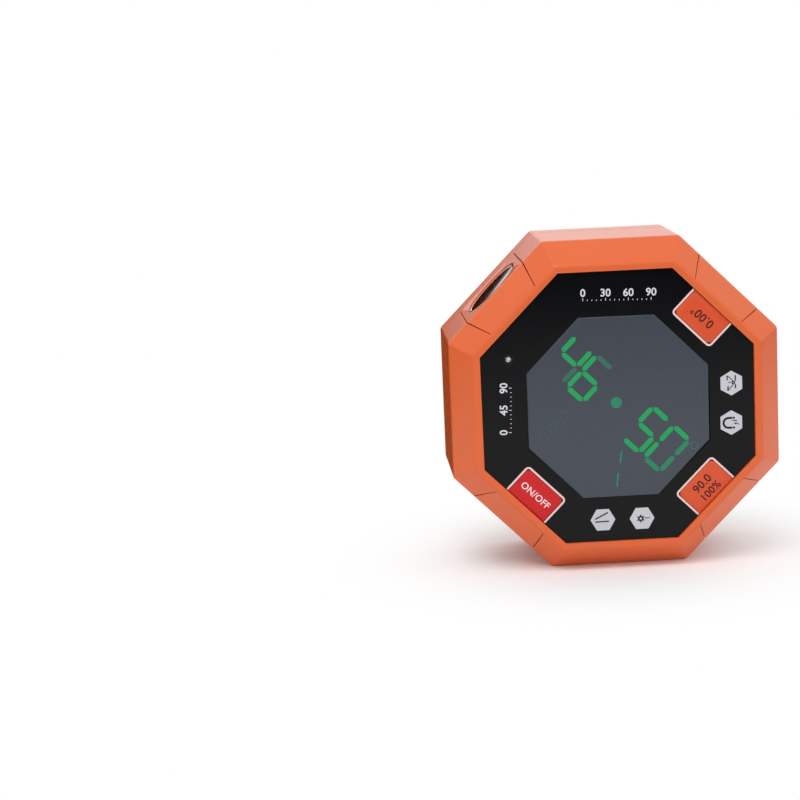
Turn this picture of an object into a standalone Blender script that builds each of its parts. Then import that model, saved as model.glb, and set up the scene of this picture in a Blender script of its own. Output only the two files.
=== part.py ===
"""A digital angle gauge with an octagonal housing, three keys, lasers and magnets.

The gauge is modelled lying on its back around its own axis: X to the right,
Y up the dial, Z from the back wall (0) to the raised rim round the face.
One empty then stands it upright on its lowest flat, with the face towards -Y.
"""

import math

import bmesh
import bpy
from mathutils import Matrix

MM = 0.001

# Octagonal housing
ACROSS_FLATS = 86.0 * MM
WALL_DEPTH = 31.0 * MM
CHAMFER_WIDTH = 5.8 * MM
CHAMFER_HEIGHT = 7.2 * MM
LAND_WIDTH = 1.8 * MM
WALL = 2.2 * MM
EDGE_ROUND = 0.5 * MM
CLEARANCE = 0.3 * MM

# Seat of the face panel
PANEL_RECESS = 0.8 * MM
PANEL_THICKNESS = 1.5 * MM
PANEL_BORDER = 11.7 * MM
LEDGE_WIDTH = 3.4 * MM
LEDGE_THICKNESS = 1.8 * MM

# Rear housing
REAR_FLOOR = 2.2 * MM
REAR_EDGE_CHAMFER = 0.8 * MM
LIP_LENGTH = 22.0 * MM
LIP_THICKNESS = 1.2 * MM
LIP_HEIGHT = 2.0 * MM
RIB_THICKNESS = 1.2 * MM
SIDE_RIB_SPREAD = 8.0 * MM
SOUND_HOLE = 1.4 * MM
SOUND_HOLE_SPREAD = 3.0 * MM

# Side caps in the four slanting walls, and the discs in them
CAP_DISC_MARGIN = 2.21 * MM
CAP_THICKNESS = 3.5 * MM
CAP_FOOT = 2.0 * MM
CAP_FLANGE_THICKNESS = 1.0 * MM
CAP_FLANGE_WIDTH = 1.5 * MM
CAP_FLANGE_MARGIN = 1.0 * MM
CAP_CREST_MARGIN = 0.2 * MM
DISC_DIAMETER = 17.0 * MM
DISC_DEPTH = 11.0 * MM
DISC_SET_BACK = 0.3 * MM
MAGNET_THICKNESS = 3.2 * MM
WINDOW_THICKNESS = 1.6 * MM
CUP_WALL = 1.0 * MM
CUP_FLOOR = 1.2 * MM
BARREL_DIAMETER = 8.0 * MM
BARREL_LENGTH = 14.0 * MM
BARREL_BORE = 5.0 * MM
BARREL_FLOOR = 1.5 * MM
LENS_THICKNESS = 1.6 * MM

# Keys and their switches
KEY_OPENING_WIDTH = 12.7 * MM
KEY_OPENING_REACH = 8.0 * MM
KEY_CORNER = 1.3 * MM
KEY_PROUD = 0.3 * MM
KEY_FLANGE_WIDTH = 1.0 * MM
KEY_FLANGE_THICKNESS = 0.8 * MM
KEY_STEM_DIAMETER = 3.8 * MM
KEY_STEM_LENGTH = 1.6 * MM
KEY_TRAVEL = 0.6 * MM
SWITCH_SIDE = 6.0 * MM
SWITCH_HEIGHT = 3.1 * MM
PLUNGER_DIAMETER = 3.4 * MM
PLUNGER_PROUD = 1.3 * MM
PLUNGER_INSERT = 0.9 * MM

# Display stack
DISPLAY_OVERLAP = 1.1 * MM
GLASS_THICKNESS = 2.0 * MM
DIFFUSER_THICKNESS = 1.7 * MM
DISPLAY_FRAME_WALL = 1.2 * MM
DISPLAY_FRAME_SHELF = 2.2 * MM
SHELF_THICKNESS = 1.0 * MM

# Main board and what stands on it
BOARD_THICKNESS = 1.6 * MM
BOARD_MARGIN = 4.3 * MM
POST_DIAMETER = 4.4 * MM
POST_INSET = 7.4 * MM
BOARD_SCREW_LENGTH = 4.5 * MM
BOARD_SCREW_DIAMETER = 1.8 * MM
BOARD_SCREW_HEAD = 3.6 * MM
BOARD_SCREW_HEAD_HEIGHT = 1.3 * MM
LED_ANGLE = 154.0
LED_TIP_DIAMETER = 1.3 * MM
LED_BODY_DIAMETER = 3.0 * MM
LED_BODY_LENGTH = 4.0 * MM
LED_LEG_DIAMETER = 1.6 * MM
CONTROLLER_SIDE = 12.0 * MM
CONTROLLER_HEIGHT = 1.6 * MM
SENSOR_SIDE = 5.0 * MM
SENSOR_HEIGHT = 1.1 * MM
SENSOR_PLACE = (0.0 * MM, 16.0 * MM)
BUZZER_DIAMETER = 12.0 * MM
BUZZER_HEIGHT = 4.6 * MM
BUZZER_HOLE = 2.0 * MM
BUZZER_GAP = 1.2 * MM
CRYSTAL_SIZE = (3.2 * MM, 7.0 * MM, 2.2 * MM)
CRYSTAL_CORNER = 1.4 * MM
CRYSTAL_DISTANCE = 13.0 * MM
REGULATOR_SIDE = 4.6 * MM
REGULATOR_HEIGHT = 1.5 * MM
REGULATOR_TAB = 1.4 * MM
REGULATOR_PLACE = (14.0 * MM, -8.0 * MM)
CHOKE_DIAMETER = 6.4 * MM
CHOKE_WAIST = 4.2 * MM
CHOKE_HEIGHT = 3.2 * MM
CHOKE_FLANGE = 0.7 * MM
CHOKE_PLACE = (14.0 * MM, 3.0 * MM)

# Leads between the board, the lasers and the battery contacts
LEAD_DIAMETER = 1.3 * MM
LASER_LEAD_REACH = 5.0 * MM
BATTERY_LEAD_REACH = 3.0 * MM
LEAD_POINTS = 9

# Housing screws in the corners
BOSS_DIAMETER = 6.4 * MM
BOSS_SET_BACK = 2.6 * MM
BOSS_SHORTFALL = 1.0 * MM
SCREW_DIAMETER = 2.6 * MM
SCREW_LENGTH = 16.0 * MM
SCREW_HEAD_DIAMETER = 4.8 * MM
SCREW_HEAD_HEIGHT = 1.6 * MM
SCREW_HEAD_DEPTH = 0.4 * MM

# Battery compartment, two cells side by side
CELL_DIAMETER = 10.5 * MM
CELL_LENGTH = 44.5 * MM
CELL_NUB_DIAMETER = 3.8 * MM
CELL_NUB_LENGTH = 1.0 * MM
CELL_EDGE = 0.5 * MM
SPRING_LENGTH = 4.0 * MM
SPRING_WIRE = 0.6 * MM
SPRING_TURNS = 4
SPRING_WIDE = 7.0 * MM
SPRING_NARROW = 4.4 * MM
CONTACT_THICKNESS = 0.5 * MM
CONTACT_HEIGHT = 8.0 * MM
TAB_WIDTH = 2.4 * MM
TAB_PROUD = 2.0 * MM
TAB_GAP = 0.25 * MM
COMPARTMENT_WALL = 2.0 * MM
COMPARTMENT_ROOF = 1.4 * MM
COVER_THICKNESS = 1.9 * MM
COVER_SEAT_WIDTH = 1.0 * MM
COVER_CORNER = 2.0 * MM
COVER_EAR_RADIUS = 3.6 * MM
COVER_EAR_REACH = 3.2 * MM
COVER_EAR_WALL = 1.2 * MM
COVER_TONGUE_LENGTH = 6.0 * MM
COVER_TONGUE_HEIGHT = 1.2 * MM
COVER_TONGUE_THICKNESS = 0.9 * MM
GRIP_GROOVES = 4
GRIP_PITCH = 2.4 * MM
GRIP_WIDTH = 1.1 * MM
GRIP_LENGTH = 13.0 * MM
GRIP_DEPTH = 0.6 * MM
GRIP_MARGIN = 4.0 * MM
COVER_SCREW_DIAMETER = 2.0 * MM
COVER_SCREW_LENGTH = 5.0 * MM
COVER_SCREW_HEAD = 3.8 * MM
COVER_SCREW_HEAD_HEIGHT = 0.9 * MM

# Directions of the facets, in degrees round the dial from +X
SIDES = 8
HALF_TURN_OF_A_SIDE = math.radians(180 / SIDES)
MAGNET_FACETS = {"upper_left": 135, "lower_right": 315}
LASER_FACETS = {"upper_right": 45, "lower_left": 225}
KEY_FACETS = {"zero": 45, "power": 225, "hold": 315}
BOSS_ANGLES = (67.5, 112.5, 247.5, 292.5)
POST_ANGLES = (0, 90, 180, 270)
ROUND_STEPS = 32
HIDDEN_ROUND_STEPS = 20
SMALL_ROUND_STEPS = 16
TINY_ROUND_STEPS = 10
CORNER_STEPS = 4
SPRING_POINTS_PER_TURN = 8

# Heights over the back wall
RIM_HEIGHT = WALL_DEPTH + CHAMFER_HEIGHT
CUP_RADIUS = DISC_DIAMETER / 2 + CLEARANCE + CUP_WALL
DISC_HEIGHT = WALL_DEPTH - DISC_DEPTH
PARTING_HEIGHT = DISC_HEIGHT - CUP_RADIUS - CAP_FOOT
REAR_WALL_HEIGHT = PARTING_HEIGHT - CLEARANCE
PANEL_TOP = RIM_HEIGHT - PANEL_RECESS
PANEL_BOTTOM = PANEL_TOP - PANEL_THICKNESS
LEDGE_TOP = PANEL_BOTTOM - CLEARANCE
LEDGE_BOTTOM = LEDGE_TOP - LEDGE_THICKNESS
KEY_FLANGE_TOP = PANEL_BOTTOM - CLEARANCE
KEY_FLANGE_BOTTOM = KEY_FLANGE_TOP - KEY_FLANGE_THICKNESS
KEY_STEM_BOTTOM = KEY_FLANGE_BOTTOM - KEY_STEM_LENGTH
PLUNGER_TOP = KEY_STEM_BOTTOM - CLEARANCE
SWITCH_TOP = PLUNGER_TOP - PLUNGER_PROUD
SWITCH_BOTTOM = SWITCH_TOP - SWITCH_HEIGHT
BOARD_TOP = SWITCH_BOTTOM - CLEARANCE
BOARD_BOTTOM = BOARD_TOP - BOARD_THICKNESS
GLASS_TOP = PANEL_BOTTOM - CLEARANCE
GLASS_BOTTOM = GLASS_TOP - GLASS_THICKNESS
DIFFUSER_TOP = GLASS_BOTTOM - CLEARANCE
DIFFUSER_BOTTOM = DIFFUSER_TOP - DIFFUSER_THICKNESS
SHELF_TOP = DIFFUSER_BOTTOM - CLEARANCE
UNDER_BOARD = BOARD_BOTTOM - CLEARANCE
CELL_HEIGHT = COVER_THICKNESS + CLEARANCE + CELL_DIAMETER / 2
CAVITY_TOP = CELL_HEIGHT + CELL_DIAMETER / 2 + CLEARANCE
BLOCK_TOP = CAVITY_TOP + COMPARTMENT_ROOF
COVER_SEAT = COVER_THICKNESS + CLEARANCE
COVER_PILOT_TOP = COVER_SCREW_HEAD_HEIGHT + COVER_SCREW_LENGTH + CLEARANCE

# Distances of flats from the axis
OUTER = ACROSS_FLATS / 2
CREST = OUTER - CHAMFER_WIDTH
WELL = CREST - LAND_WIDTH
LEDGE = WELL - LEDGE_WIDTH
INNER = OUTER - WALL
DISPLAY = WELL - PANEL_BORDER
KEY_OPENING_START = WELL - KEY_OPENING_REACH
KEY_CENTRE = WELL - KEY_OPENING_REACH / 2
BOARD = INNER - BOARD_MARGIN
BARREL_BACK = OUTER - DISC_SET_BACK - WINDOW_THICKNESS - CLEARANCE - BARREL_LENGTH
BUZZER_DISTANCE = INNER - POST_INSET - BOARD_SCREW_HEAD / 2 - BUZZER_GAP - BUZZER_DIAMETER / 2

# Battery compartment in plan
CAVITY_LENGTH = CELL_LENGTH + SPRING_LENGTH + 2 * CONTACT_THICKNESS + 5 * CLEARANCE
CAVITY_WIDTH = 2 * CELL_DIAMETER + 3 * CLEARANCE
BLOCK_LENGTH = CAVITY_LENGTH + 2 * COMPARTMENT_WALL
BLOCK_WIDTH = CAVITY_WIDTH + 2 * COMPARTMENT_WALL
CONTACT_PLACE = CAVITY_LENGTH / 2 - CLEARANCE - CONTACT_THICKNESS / 2
CELL_OFFSET = (CELL_DIAMETER + CLEARANCE) / 2
RECESS_LENGTH = CAVITY_LENGTH + 2 * COVER_SEAT_WIDTH
RECESS_WIDTH = CAVITY_WIDTH + 2 * COVER_SEAT_WIDTH
COVER_SCREW_X = CAVITY_LENGTH / 2 + COMPARTMENT_WALL + COVER_EAR_REACH


# Scene, collections and materials

def clear_scene():
    for item in list(bpy.data.objects):
        bpy.data.objects.remove(item, do_unlink=True)


def new_collection(name):
    collection = bpy.data.collections.new(name)
    bpy.context.scene.collection.children.link(collection)
    return collection


def linear(red, green, blue):
    """The linear colour of an 8-bit display colour."""
    return tuple((channel / 255) ** 2.2 for channel in (red, green, blue)) + (1.0,)


def make_material(name, colour, roughness, metallic=0.0):
    material = bpy.data.materials.new(name)
    material.use_nodes = True
    shader = material.node_tree.nodes["Principled BSDF"]
    shader.inputs["Base Color"].default_value = linear(*colour)
    shader.inputs["Roughness"].default_value = roughness
    shader.inputs["Metallic"].default_value = metallic
    material.diffuse_color = linear(*colour)
    return material


def make_materials():
    return {
        "orange_plastic": make_material("orange_plastic", (226, 104, 58), 0.45),
        "cap_plastic": make_material("cap_plastic", (228, 108, 62), 0.42),
        "black_acrylic": make_material("black_acrylic", (16, 17, 19), 0.08),
        "smoked_acrylic": make_material("smoked_acrylic", (74, 80, 86), 0.1),
        "display_glass": make_material("display_glass", (60, 66, 70), 0.05),
        "diffuser": make_material("diffuser", (225, 228, 225), 0.6),
        "white_plastic": make_material("white_plastic", (220, 220, 216), 0.5),
        "circuit_board": make_material("circuit_board", (28, 92, 52), 0.4),
        "black_plastic": make_material("black_plastic", (24, 24, 26), 0.5),
        "red_key": make_material("red_key", (208, 32, 32), 0.35),
        "orange_key": make_material("orange_key", (224, 86, 43), 0.35),
        "nickel": make_material("nickel", (205, 204, 200), 0.12, 1.0),
        "steel": make_material("steel", (165, 165, 168), 0.3, 1.0),
        "brass": make_material("brass", (190, 150, 80), 0.3, 1.0),
        "red_window": make_material("red_window", (92, 10, 12), 0.06),
        "lens_glass": make_material("lens_glass", (220, 230, 235), 0.02),
        "led_resin": make_material("led_resin", (214, 190, 120), 0.2),
        "cell_jacket": make_material("cell_jacket", (38, 40, 46), 0.35),
        "red_lead": make_material("red_lead", (170, 28, 24), 0.5),
        "black_lead": make_material("black_lead", (22, 22, 24), 0.5),
    }


# Shapes

def object_from(name, mesh, collection, materials, material):
    item = bpy.data.objects.new(name, mesh)
    collection.objects.link(item)
    if material:
        mesh.materials.append(materials[material])
    return item


def shade(mesh, angle=30):
    mesh.shade_smooth()
    mesh.set_sharp_from_angle(angle=math.radians(angle))


def baked(item, merge=1e-7):
    """The evaluated mesh of a helper object, with its doubles merged; the helper goes."""
    graph = bpy.context.evaluated_depsgraph_get()
    mesh = bpy.data.meshes.new_from_object(item.evaluated_get(graph))
    bpy.data.objects.remove(item, do_unlink=True)
    shape = bmesh.new()
    shape.from_mesh(mesh)
    bmesh.ops.remove_doubles(shape, verts=shape.verts, dist=merge)
    bmesh.ops.recalc_face_normals(shape, faces=shape.faces)
    shape.to_mesh(mesh)
    shape.free()
    return mesh


def turned_mesh(profile, steps, closed=False):
    """A profile of (radius, height) points, turned about Z; it runs down its outer side."""
    points = [(radius, 0.0, height) for radius, height in profile]
    edges = [(i, i + 1) for i in range(len(points) - 1)]
    if closed:
        edges.append((len(points) - 1, 0))
    mesh = bpy.data.meshes.new("profile")
    mesh.from_pydata(points, edges, [])
    item = bpy.data.objects.new("profile", mesh)
    bpy.context.scene.collection.objects.link(item)
    screw = item.modifiers.new("turn", "SCREW")
    screw.axis = "Z"
    screw.steps = steps
    screw.render_steps = steps
    screw.use_merge_vertices = True
    screw.merge_threshold = 1e-6
    return baked(item)


def octagonal_mesh(profile, closed=False):
    """A profile of (distance of the flat, height) points, turned in eight steps."""
    corner = 1 / math.cos(HALF_TURN_OF_A_SIDE)
    mesh = turned_mesh([(flat * corner, height) for flat, height in profile], SIDES, closed)
    mesh.transform(Matrix.Rotation(HALF_TURN_OF_A_SIDE, 4, "Z"))
    return mesh


def octagonal_slab(flat, low, high):
    return octagonal_mesh([(0, high), (flat, high), (flat, low), (0, low)])


def outline_mesh(outline, low, high):
    """A flat outline of (x, y) points raised from height low to height high."""
    curve = bpy.data.curves.new("outline", "CURVE")
    curve.dimensions = "2D"
    curve.fill_mode = "BOTH"
    curve.extrude = (high - low) / 2
    spline = curve.splines.new("POLY")
    spline.points.add(len(outline) - 1)
    for point, (x, y) in zip(spline.points, outline):
        point.co = (x, y, 0, 1)
    spline.use_cyclic_u = True
    item = bpy.data.objects.new("outline", curve)
    bpy.context.scene.collection.objects.link(item)
    mesh = baked(item)
    mesh.transform(Matrix.Translation((0, 0, (low + high) / 2)))
    return mesh


def rounded_rectangle(length, width, radius):
    """Outline points of a rectangle along X and Y with round corners, anticlockwise."""
    points = []
    for quarter, (sign_x, sign_y) in enumerate(((1, 1), (-1, 1), (-1, -1), (1, -1))):
        centre_x = sign_x * (length / 2 - radius)
        centre_y = sign_y * (width / 2 - radius)
        for step in range(CORNER_STEPS + 1):
            angle = math.pi / 2 * (quarter + step / CORNER_STEPS)
            points.append((centre_x + radius * math.cos(angle), centre_y + radius * math.sin(angle)))
    return points


def rod_along(points, radius, resolution):
    """A round rod along a list of (x, y, z) points."""
    curve = bpy.data.curves.new("rod", "CURVE")
    curve.dimensions = "3D"
    curve.bevel_depth = radius
    curve.bevel_resolution = resolution
    curve.use_fill_caps = True
    spline = curve.splines.new("POLY")
    spline.points.add(len(points) - 1)
    for point, place in zip(spline.points, points):
        point.co = (*place, 1)
    item = bpy.data.objects.new("rod", curve)
    bpy.context.scene.collection.objects.link(item)
    return baked(item)


def pegs_mesh(spots, radius, low, high, steps=ROUND_STEPS):
    """Upright cylinders at (x, y) spots, in one mesh."""
    shape = bmesh.new()
    for x, y in spots:
        place = Matrix.Translation((x, y, (low + high) / 2))
        bmesh.ops.create_cone(shape, cap_ends=True, segments=steps, radius1=radius,
                              radius2=radius, depth=high - low, matrix=place)
    mesh = bpy.data.meshes.new("pegs")
    shape.to_mesh(mesh)
    shape.free()
    return mesh


def boxes_mesh(boxes):
    """Boxes given as (centre, size), in one mesh."""
    shape = bmesh.new()
    for centre, size in boxes:
        place = Matrix.Translation(centre) @ Matrix.Diagonal((*size, 1))
        bmesh.ops.create_cube(shape, size=1, matrix=place)
    mesh = bpy.data.meshes.new("boxes")
    shape.to_mesh(mesh)
    shape.free()
    return mesh


def along_x(mesh):
    """Turns a mesh so that its Z axis points along +X."""
    mesh.transform(Matrix.Rotation(math.pi / 2, 4, "Y"))
    return mesh


def rod_mesh(radius, start, end, height, steps=ROUND_STEPS):
    """A cylinder along X between two distances from the axis, at a height."""
    mesh = along_x(pegs_mesh([(0, 0)], radius, start, end, steps))
    mesh.transform(Matrix.Translation((0, 0, height)))
    return mesh


def soften(mesh, chosen, width, segments=2):
    """Rounds the edges whose two ends both pass the test."""
    shape = bmesh.new()
    shape.from_mesh(mesh)
    edges = [edge for edge in shape.edges if chosen(*edge.verts)]
    bmesh.ops.bevel(shape, geom=edges, offset=width, offset_type="OFFSET",
                    segments=segments, profile=0.5, affect="EDGES", clamp_overlap=True)
    bmesh.ops.remove_doubles(shape, verts=shape.verts, dist=1e-7)
    shape.to_mesh(mesh)
    shape.free()


def polar(angle, distance):
    """The (x, y) spot at an angle in degrees round the dial and a distance from its axis."""
    return distance * math.cos(math.radians(angle)), distance * math.sin(math.radians(angle))


def flat_distance(x, y):
    """How far out a point lies, measured square to the nearest flat."""
    angle = math.atan2(y, x)
    step = 2 * HALF_TURN_OF_A_SIDE
    return math.hypot(x, y) * math.cos(angle - round(angle / step) * step)


class Builder:
    """Holds the collections, the materials and the empty that stands the gauge upright."""

    def __init__(self):
        self.parts = new_collection("digital_angle_gauge")
        self.cutters = new_collection("cutters")
        self.materials = make_materials()
        self.stand = bpy.data.objects.new("gauge_axis", None)
        self.stand.empty_display_size = ACROSS_FLATS / 4
        self.stand.location = (0, RIM_HEIGHT / 2, ACROSS_FLATS / 2)
        self.stand.rotation_euler = (math.pi / 2, 0, 0)
        self.parts.objects.link(self.stand)

    def part(self, name, mesh, material, spot=(0, 0, 0), turn=0.0):
        """A sub-part on the gauge's axis, moved to a spot and turned by degrees about it."""
        shade(mesh)
        item = object_from(name, mesh, self.parts, self.materials, material)
        item.parent = self.stand
        item.location = spot
        item.rotation_euler = (0, 0, math.radians(turn))
        return item

    def boolean(self, item, name, mesh, operation="DIFFERENCE", turn=None):
        """Cuts a helper shape from a sub-part, or joins it on."""
        helper = object_from(name, mesh, self.cutters, self.materials, None)
        helper.parent = self.stand
        helper.location = item.location
        helper.rotation_euler = item.rotation_euler
        if turn is not None:
            helper.location = (0, 0, 0)
            helper.rotation_euler = (0, 0, math.radians(turn))
        helper.hide_render = True
        helper.display_type = "WIRE"
        step = item.modifiers.new(name, "BOOLEAN")
        step.operation = operation
        step.solver = "EXACT"
        step.object = helper

    def cut(self, item, name, mesh, turn=None):
        self.boolean(item, name, mesh, "DIFFERENCE", turn)

    def join(self, item, name, mesh, turn=None):
        self.boolean(item, name, mesh, "UNION", turn)


# Front housing

def chamfer_height_at(flat):
    """Height of the front chamfer at a distance from the axis."""
    return WALL_DEPTH + (OUTER - flat) / CHAMFER_WIDTH * CHAMFER_HEIGHT


def cap_half_width(flat, gap=0.0):
    """Half the width of a side cap's window at a distance from the axis; its sides run
    parallel to the mitres of the corners."""
    slope = math.tan(HALF_TURN_OF_A_SIDE)
    return DISC_DIAMETER / 2 + CAP_DISC_MARGIN - (OUTER - flat) * slope - gap


def mitred_block(section, half_width_at):
    """A (distance, height) section drawn out sideways, with both ends cut to the mitre."""
    mesh = outline_mesh(section, -1.0, 1.0)
    mesh.transform(Matrix.Rotation(math.pi / 2, 4, "X"))
    for vertex in mesh.vertices:
        vertex.co.y = math.copysign(half_width_at(vertex.co.x), vertex.co.y)
    return mesh


def front_housing_profile():
    slope_foot = WALL_DEPTH - CHAMFER_HEIGHT * WALL / CHAMFER_WIDTH / 2
    slope_head = WELL + LAND_WIDTH / 2
    return [
        (CREST, RIM_HEIGHT),
        (OUTER, WALL_DEPTH),
        (OUTER, PARTING_HEIGHT),
        (INNER, PARTING_HEIGHT),
        (INNER, slope_foot),
        (slope_head, LEDGE_BOTTOM),
        (LEDGE, LEDGE_BOTTOM),
        (LEDGE, LEDGE_TOP),
        (WELL, LEDGE_TOP),
        (WELL, RIM_HEIGHT),
    ]


def near(value, target):
    return abs(value - target) < 1e-5


def on_shell(parting):
    """A test for edges on a housing's outer surface, apart from those at its parting plane."""
    def chosen(*vertices):
        for vertex in vertices:
            reach = flat_distance(vertex.co.x, vertex.co.y)
            on_crest = near(reach, CREST) and near(vertex.co.z, RIM_HEIGHT)
            if not near(reach, OUTER) and not on_crest:
                return False
        return not all(near(vertex.co.z, parting) for vertex in vertices)
    return chosen


def boss_spots():
    corner = INNER / math.cos(HALF_TURN_OF_A_SIDE)
    return [polar(angle, corner - BOSS_SET_BACK) for angle in BOSS_ANGLES]


def post_spots():
    return [polar(angle, INNER - POST_INSET) for angle in POST_ANGLES]


def cap_window():
    """The section that a side cap's window takes out of the front housing."""
    crest_side = CREST + CAP_CREST_MARGIN
    outside = OUTER + WALL
    return [
        (crest_side, RIM_HEIGHT + WALL),
        (crest_side, PARTING_HEIGHT - WALL),
        (outside, PARTING_HEIGHT - WALL),
        (outside, RIM_HEIGHT + WALL),
    ]


def make_front_housing(build):
    mesh = octagonal_mesh(front_housing_profile(), closed=True)
    soften(mesh, on_shell(PARTING_HEIGHT), EDGE_ROUND)
    housing = build.part("front_housing", mesh, "orange_plastic")
    bosses = pegs_mesh(boss_spots(), BOSS_DIAMETER / 2, PARTING_HEIGHT, WALL_DEPTH - BOSS_SHORTFALL)
    build.join(housing, "corner_bosses", bosses)
    post_foot = BOARD_TOP + CLEARANCE
    post_head = (LEDGE_BOTTOM + LEDGE_TOP) / 2
    posts = pegs_mesh(post_spots(), POST_DIAMETER / 2, post_foot, post_head, SMALL_ROUND_STEPS)
    build.join(housing, "board_posts", posts)
    pilot = SCREW_DIAMETER / 2 + CLEARANCE
    pilot_top = screw_tip_height() + CLEARANCE
    holes = pegs_mesh(boss_spots(), pilot, PARTING_HEIGHT - WALL, pilot_top, SMALL_ROUND_STEPS)
    build.cut(housing, "corner_pilot_holes", holes)
    post_pilot = BOARD_SCREW_DIAMETER / 2 + CLEARANCE
    post_pilot_top = board_screw_tip_height() + CLEARANCE
    post_holes = pegs_mesh(post_spots(), post_pilot, post_foot - WALL, post_pilot_top, SMALL_ROUND_STEPS)
    build.cut(housing, "post_pilot_holes", post_holes)
    for name, angle in {**MAGNET_FACETS, **LASER_FACETS}.items():
        build.cut(housing, "cap_window_" + name, mitred_block(cap_window(), cap_half_width), angle)
    for name, angle in KEY_FACETS.items():
        build.cut(housing, "key_pocket_" + name, key_pocket(), angle)


def key_pocket():
    """Room in the ledge for a key's flange, with a relief in the wall behind it."""
    start = LEDGE - WALL
    end = WELL + CLEARANCE
    width = KEY_OPENING_WIDTH + 2 * KEY_FLANGE_WIDTH + 2 * CLEARANCE
    centre = ((start + end) / 2, 0, (LEDGE_TOP + LEDGE_BOTTOM) / 2)
    return boxes_mesh([(centre, (end - start, width, LEDGE_THICKNESS + 2 * CLEARANCE))])


# Rear housing

def rear_housing_profile():
    return [
        (0, REAR_FLOOR),
        (INNER, REAR_FLOOR),
        (INNER, REAR_WALL_HEIGHT),
        (OUTER, REAR_WALL_HEIGHT),
        (OUTER, REAR_EDGE_CHAMFER),
        (OUTER - REAR_EDGE_CHAMFER, 0),
        (0, 0),
    ]


def make_rear_housing(build):
    mesh = octagonal_mesh(rear_housing_profile())
    soften(mesh, on_shell(REAR_WALL_HEIGHT), EDGE_ROUND)
    rear = build.part("rear_housing", mesh, "orange_plastic")
    half_floor = REAR_FLOOR / 2
    posts = pegs_mesh(boss_spots(), BOSS_DIAMETER / 2, half_floor, REAR_WALL_HEIGHT)
    build.join(rear, "screw_posts", posts)
    block = outline_mesh(rounded_rectangle(BLOCK_LENGTH, BLOCK_WIDTH, COVER_CORNER), half_floor, BLOCK_TOP)
    build.join(rear, "compartment_block", block)
    build.join(rear, "floor_ribs", floor_ribs())
    ear_outer = COVER_EAR_RADIUS + CLEARANCE + COVER_EAR_WALL
    ear = pegs_mesh([(COVER_SCREW_X, 0)], ear_outer, half_floor, COVER_PILOT_TOP + COMPARTMENT_ROOF)
    build.join(rear, "cover_screw_boss", ear)
    for turn in POST_ANGLES:
        build.join(rear, "lip_%d" % turn, lip(), turn)
    build.cut(rear, "compartment_cavity", cavity())
    build.cut(rear, "tab_slots", tab_slots())
    build.cut(rear, "cover_recess", recess())
    build.cut(rear, "ear_recess", ear_recess())
    build.cut(rear, "sound_holes", sound_holes())
    cover_pilot = COVER_SCREW_DIAMETER / 2 + CLEARANCE
    pilot = pegs_mesh([(COVER_SCREW_X, 0)], cover_pilot, half_floor, COVER_PILOT_TOP, SMALL_ROUND_STEPS)
    build.cut(rear, "cover_screw_pilot", pilot)
    shank = SCREW_DIAMETER / 2 + CLEARANCE
    bores = pegs_mesh(boss_spots(), shank, -REAR_FLOOR, REAR_WALL_HEIGHT + REAR_FLOOR, SMALL_ROUND_STEPS)
    build.cut(rear, "screw_bores", bores)
    head_top = SCREW_HEAD_DEPTH + SCREW_HEAD_HEIGHT + CLEARANCE
    heads = pegs_mesh(boss_spots(), SCREW_HEAD_DIAMETER / 2 + CLEARANCE, -REAR_FLOOR, head_top)
    build.cut(rear, "screw_head_pockets", heads)


def lip():
    """A tongue on a straight wall that locates the front housing."""
    outer_face = INNER - CLEARANCE
    inner_face = outer_face - LIP_THICKNESS
    foot = REAR_FLOOR
    head = REAR_WALL_HEIGHT + LIP_HEIGHT
    step = REAR_WALL_HEIGHT - CLEARANCE
    section = [
        (inner_face, foot),
        (INNER + WALL / 2, foot),
        (INNER + WALL / 2, step),
        (outer_face, step),
        (outer_face, head),
        (inner_face, head),
    ]
    return mitred_block(section, lambda flat: LIP_LENGTH / 2)


def floor_ribs():
    """Ribs on the floor, from the compartment to the screw posts and to the side walls."""
    low = REAR_FLOOR / 2
    high = (REAR_FLOOR + REAR_WALL_HEIGHT) / 2
    height = high - low
    level = (low + high) / 2
    block_side = (BLOCK_WIDTH - COMPARTMENT_WALL) / 2
    block_end = (BLOCK_LENGTH - COMPARTMENT_WALL) / 2
    wall = (INNER + OUTER) / 2
    ribs = []
    for x, y in boss_spots():
        middle = math.copysign((abs(y) + block_side) / 2, y)
        ribs.append(((x, middle, level), (RIB_THICKNESS, abs(y) - block_side, height)))
    for sign_x in (1, -1):
        for sign_y in (1, -1):
            middle = (sign_x * (wall + block_end) / 2, sign_y * SIDE_RIB_SPREAD, level)
            ribs.append((middle, (wall - block_end, RIB_THICKNESS, height)))
    return boxes_mesh(ribs)


def sound_holes():
    """Small holes through the floor behind the buzzer: one in the middle and a ring of four."""
    ring = [polar(turn, SOUND_HOLE_SPREAD) for turn in POST_ANGLES]
    spots = [(x, y - BUZZER_DISTANCE) for x, y in [(0, 0), *ring]]
    return pegs_mesh(spots, SOUND_HOLE / 2, -REAR_FLOOR, 2 * REAR_FLOOR, TINY_ROUND_STEPS)


def tab_slots():
    """Slots in the compartment's roof for the tabs of the two end contacts."""
    size = (CONTACT_THICKNESS + 2 * TAB_GAP, TAB_WIDTH + 2 * CLEARANCE, 2 * COMPARTMENT_ROOF)
    level = CAVITY_TOP + COMPARTMENT_ROOF / 2
    return boxes_mesh([((CONTACT_PLACE, side * CELL_OFFSET, level), size) for side in (1, -1)])


def cavity():
    """Room for the two cells and their contacts."""
    outline = rounded_rectangle(CAVITY_LENGTH, CAVITY_WIDTH, CLEARANCE)
    return outline_mesh(outline, -REAR_FLOOR, CAVITY_TOP)


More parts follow.
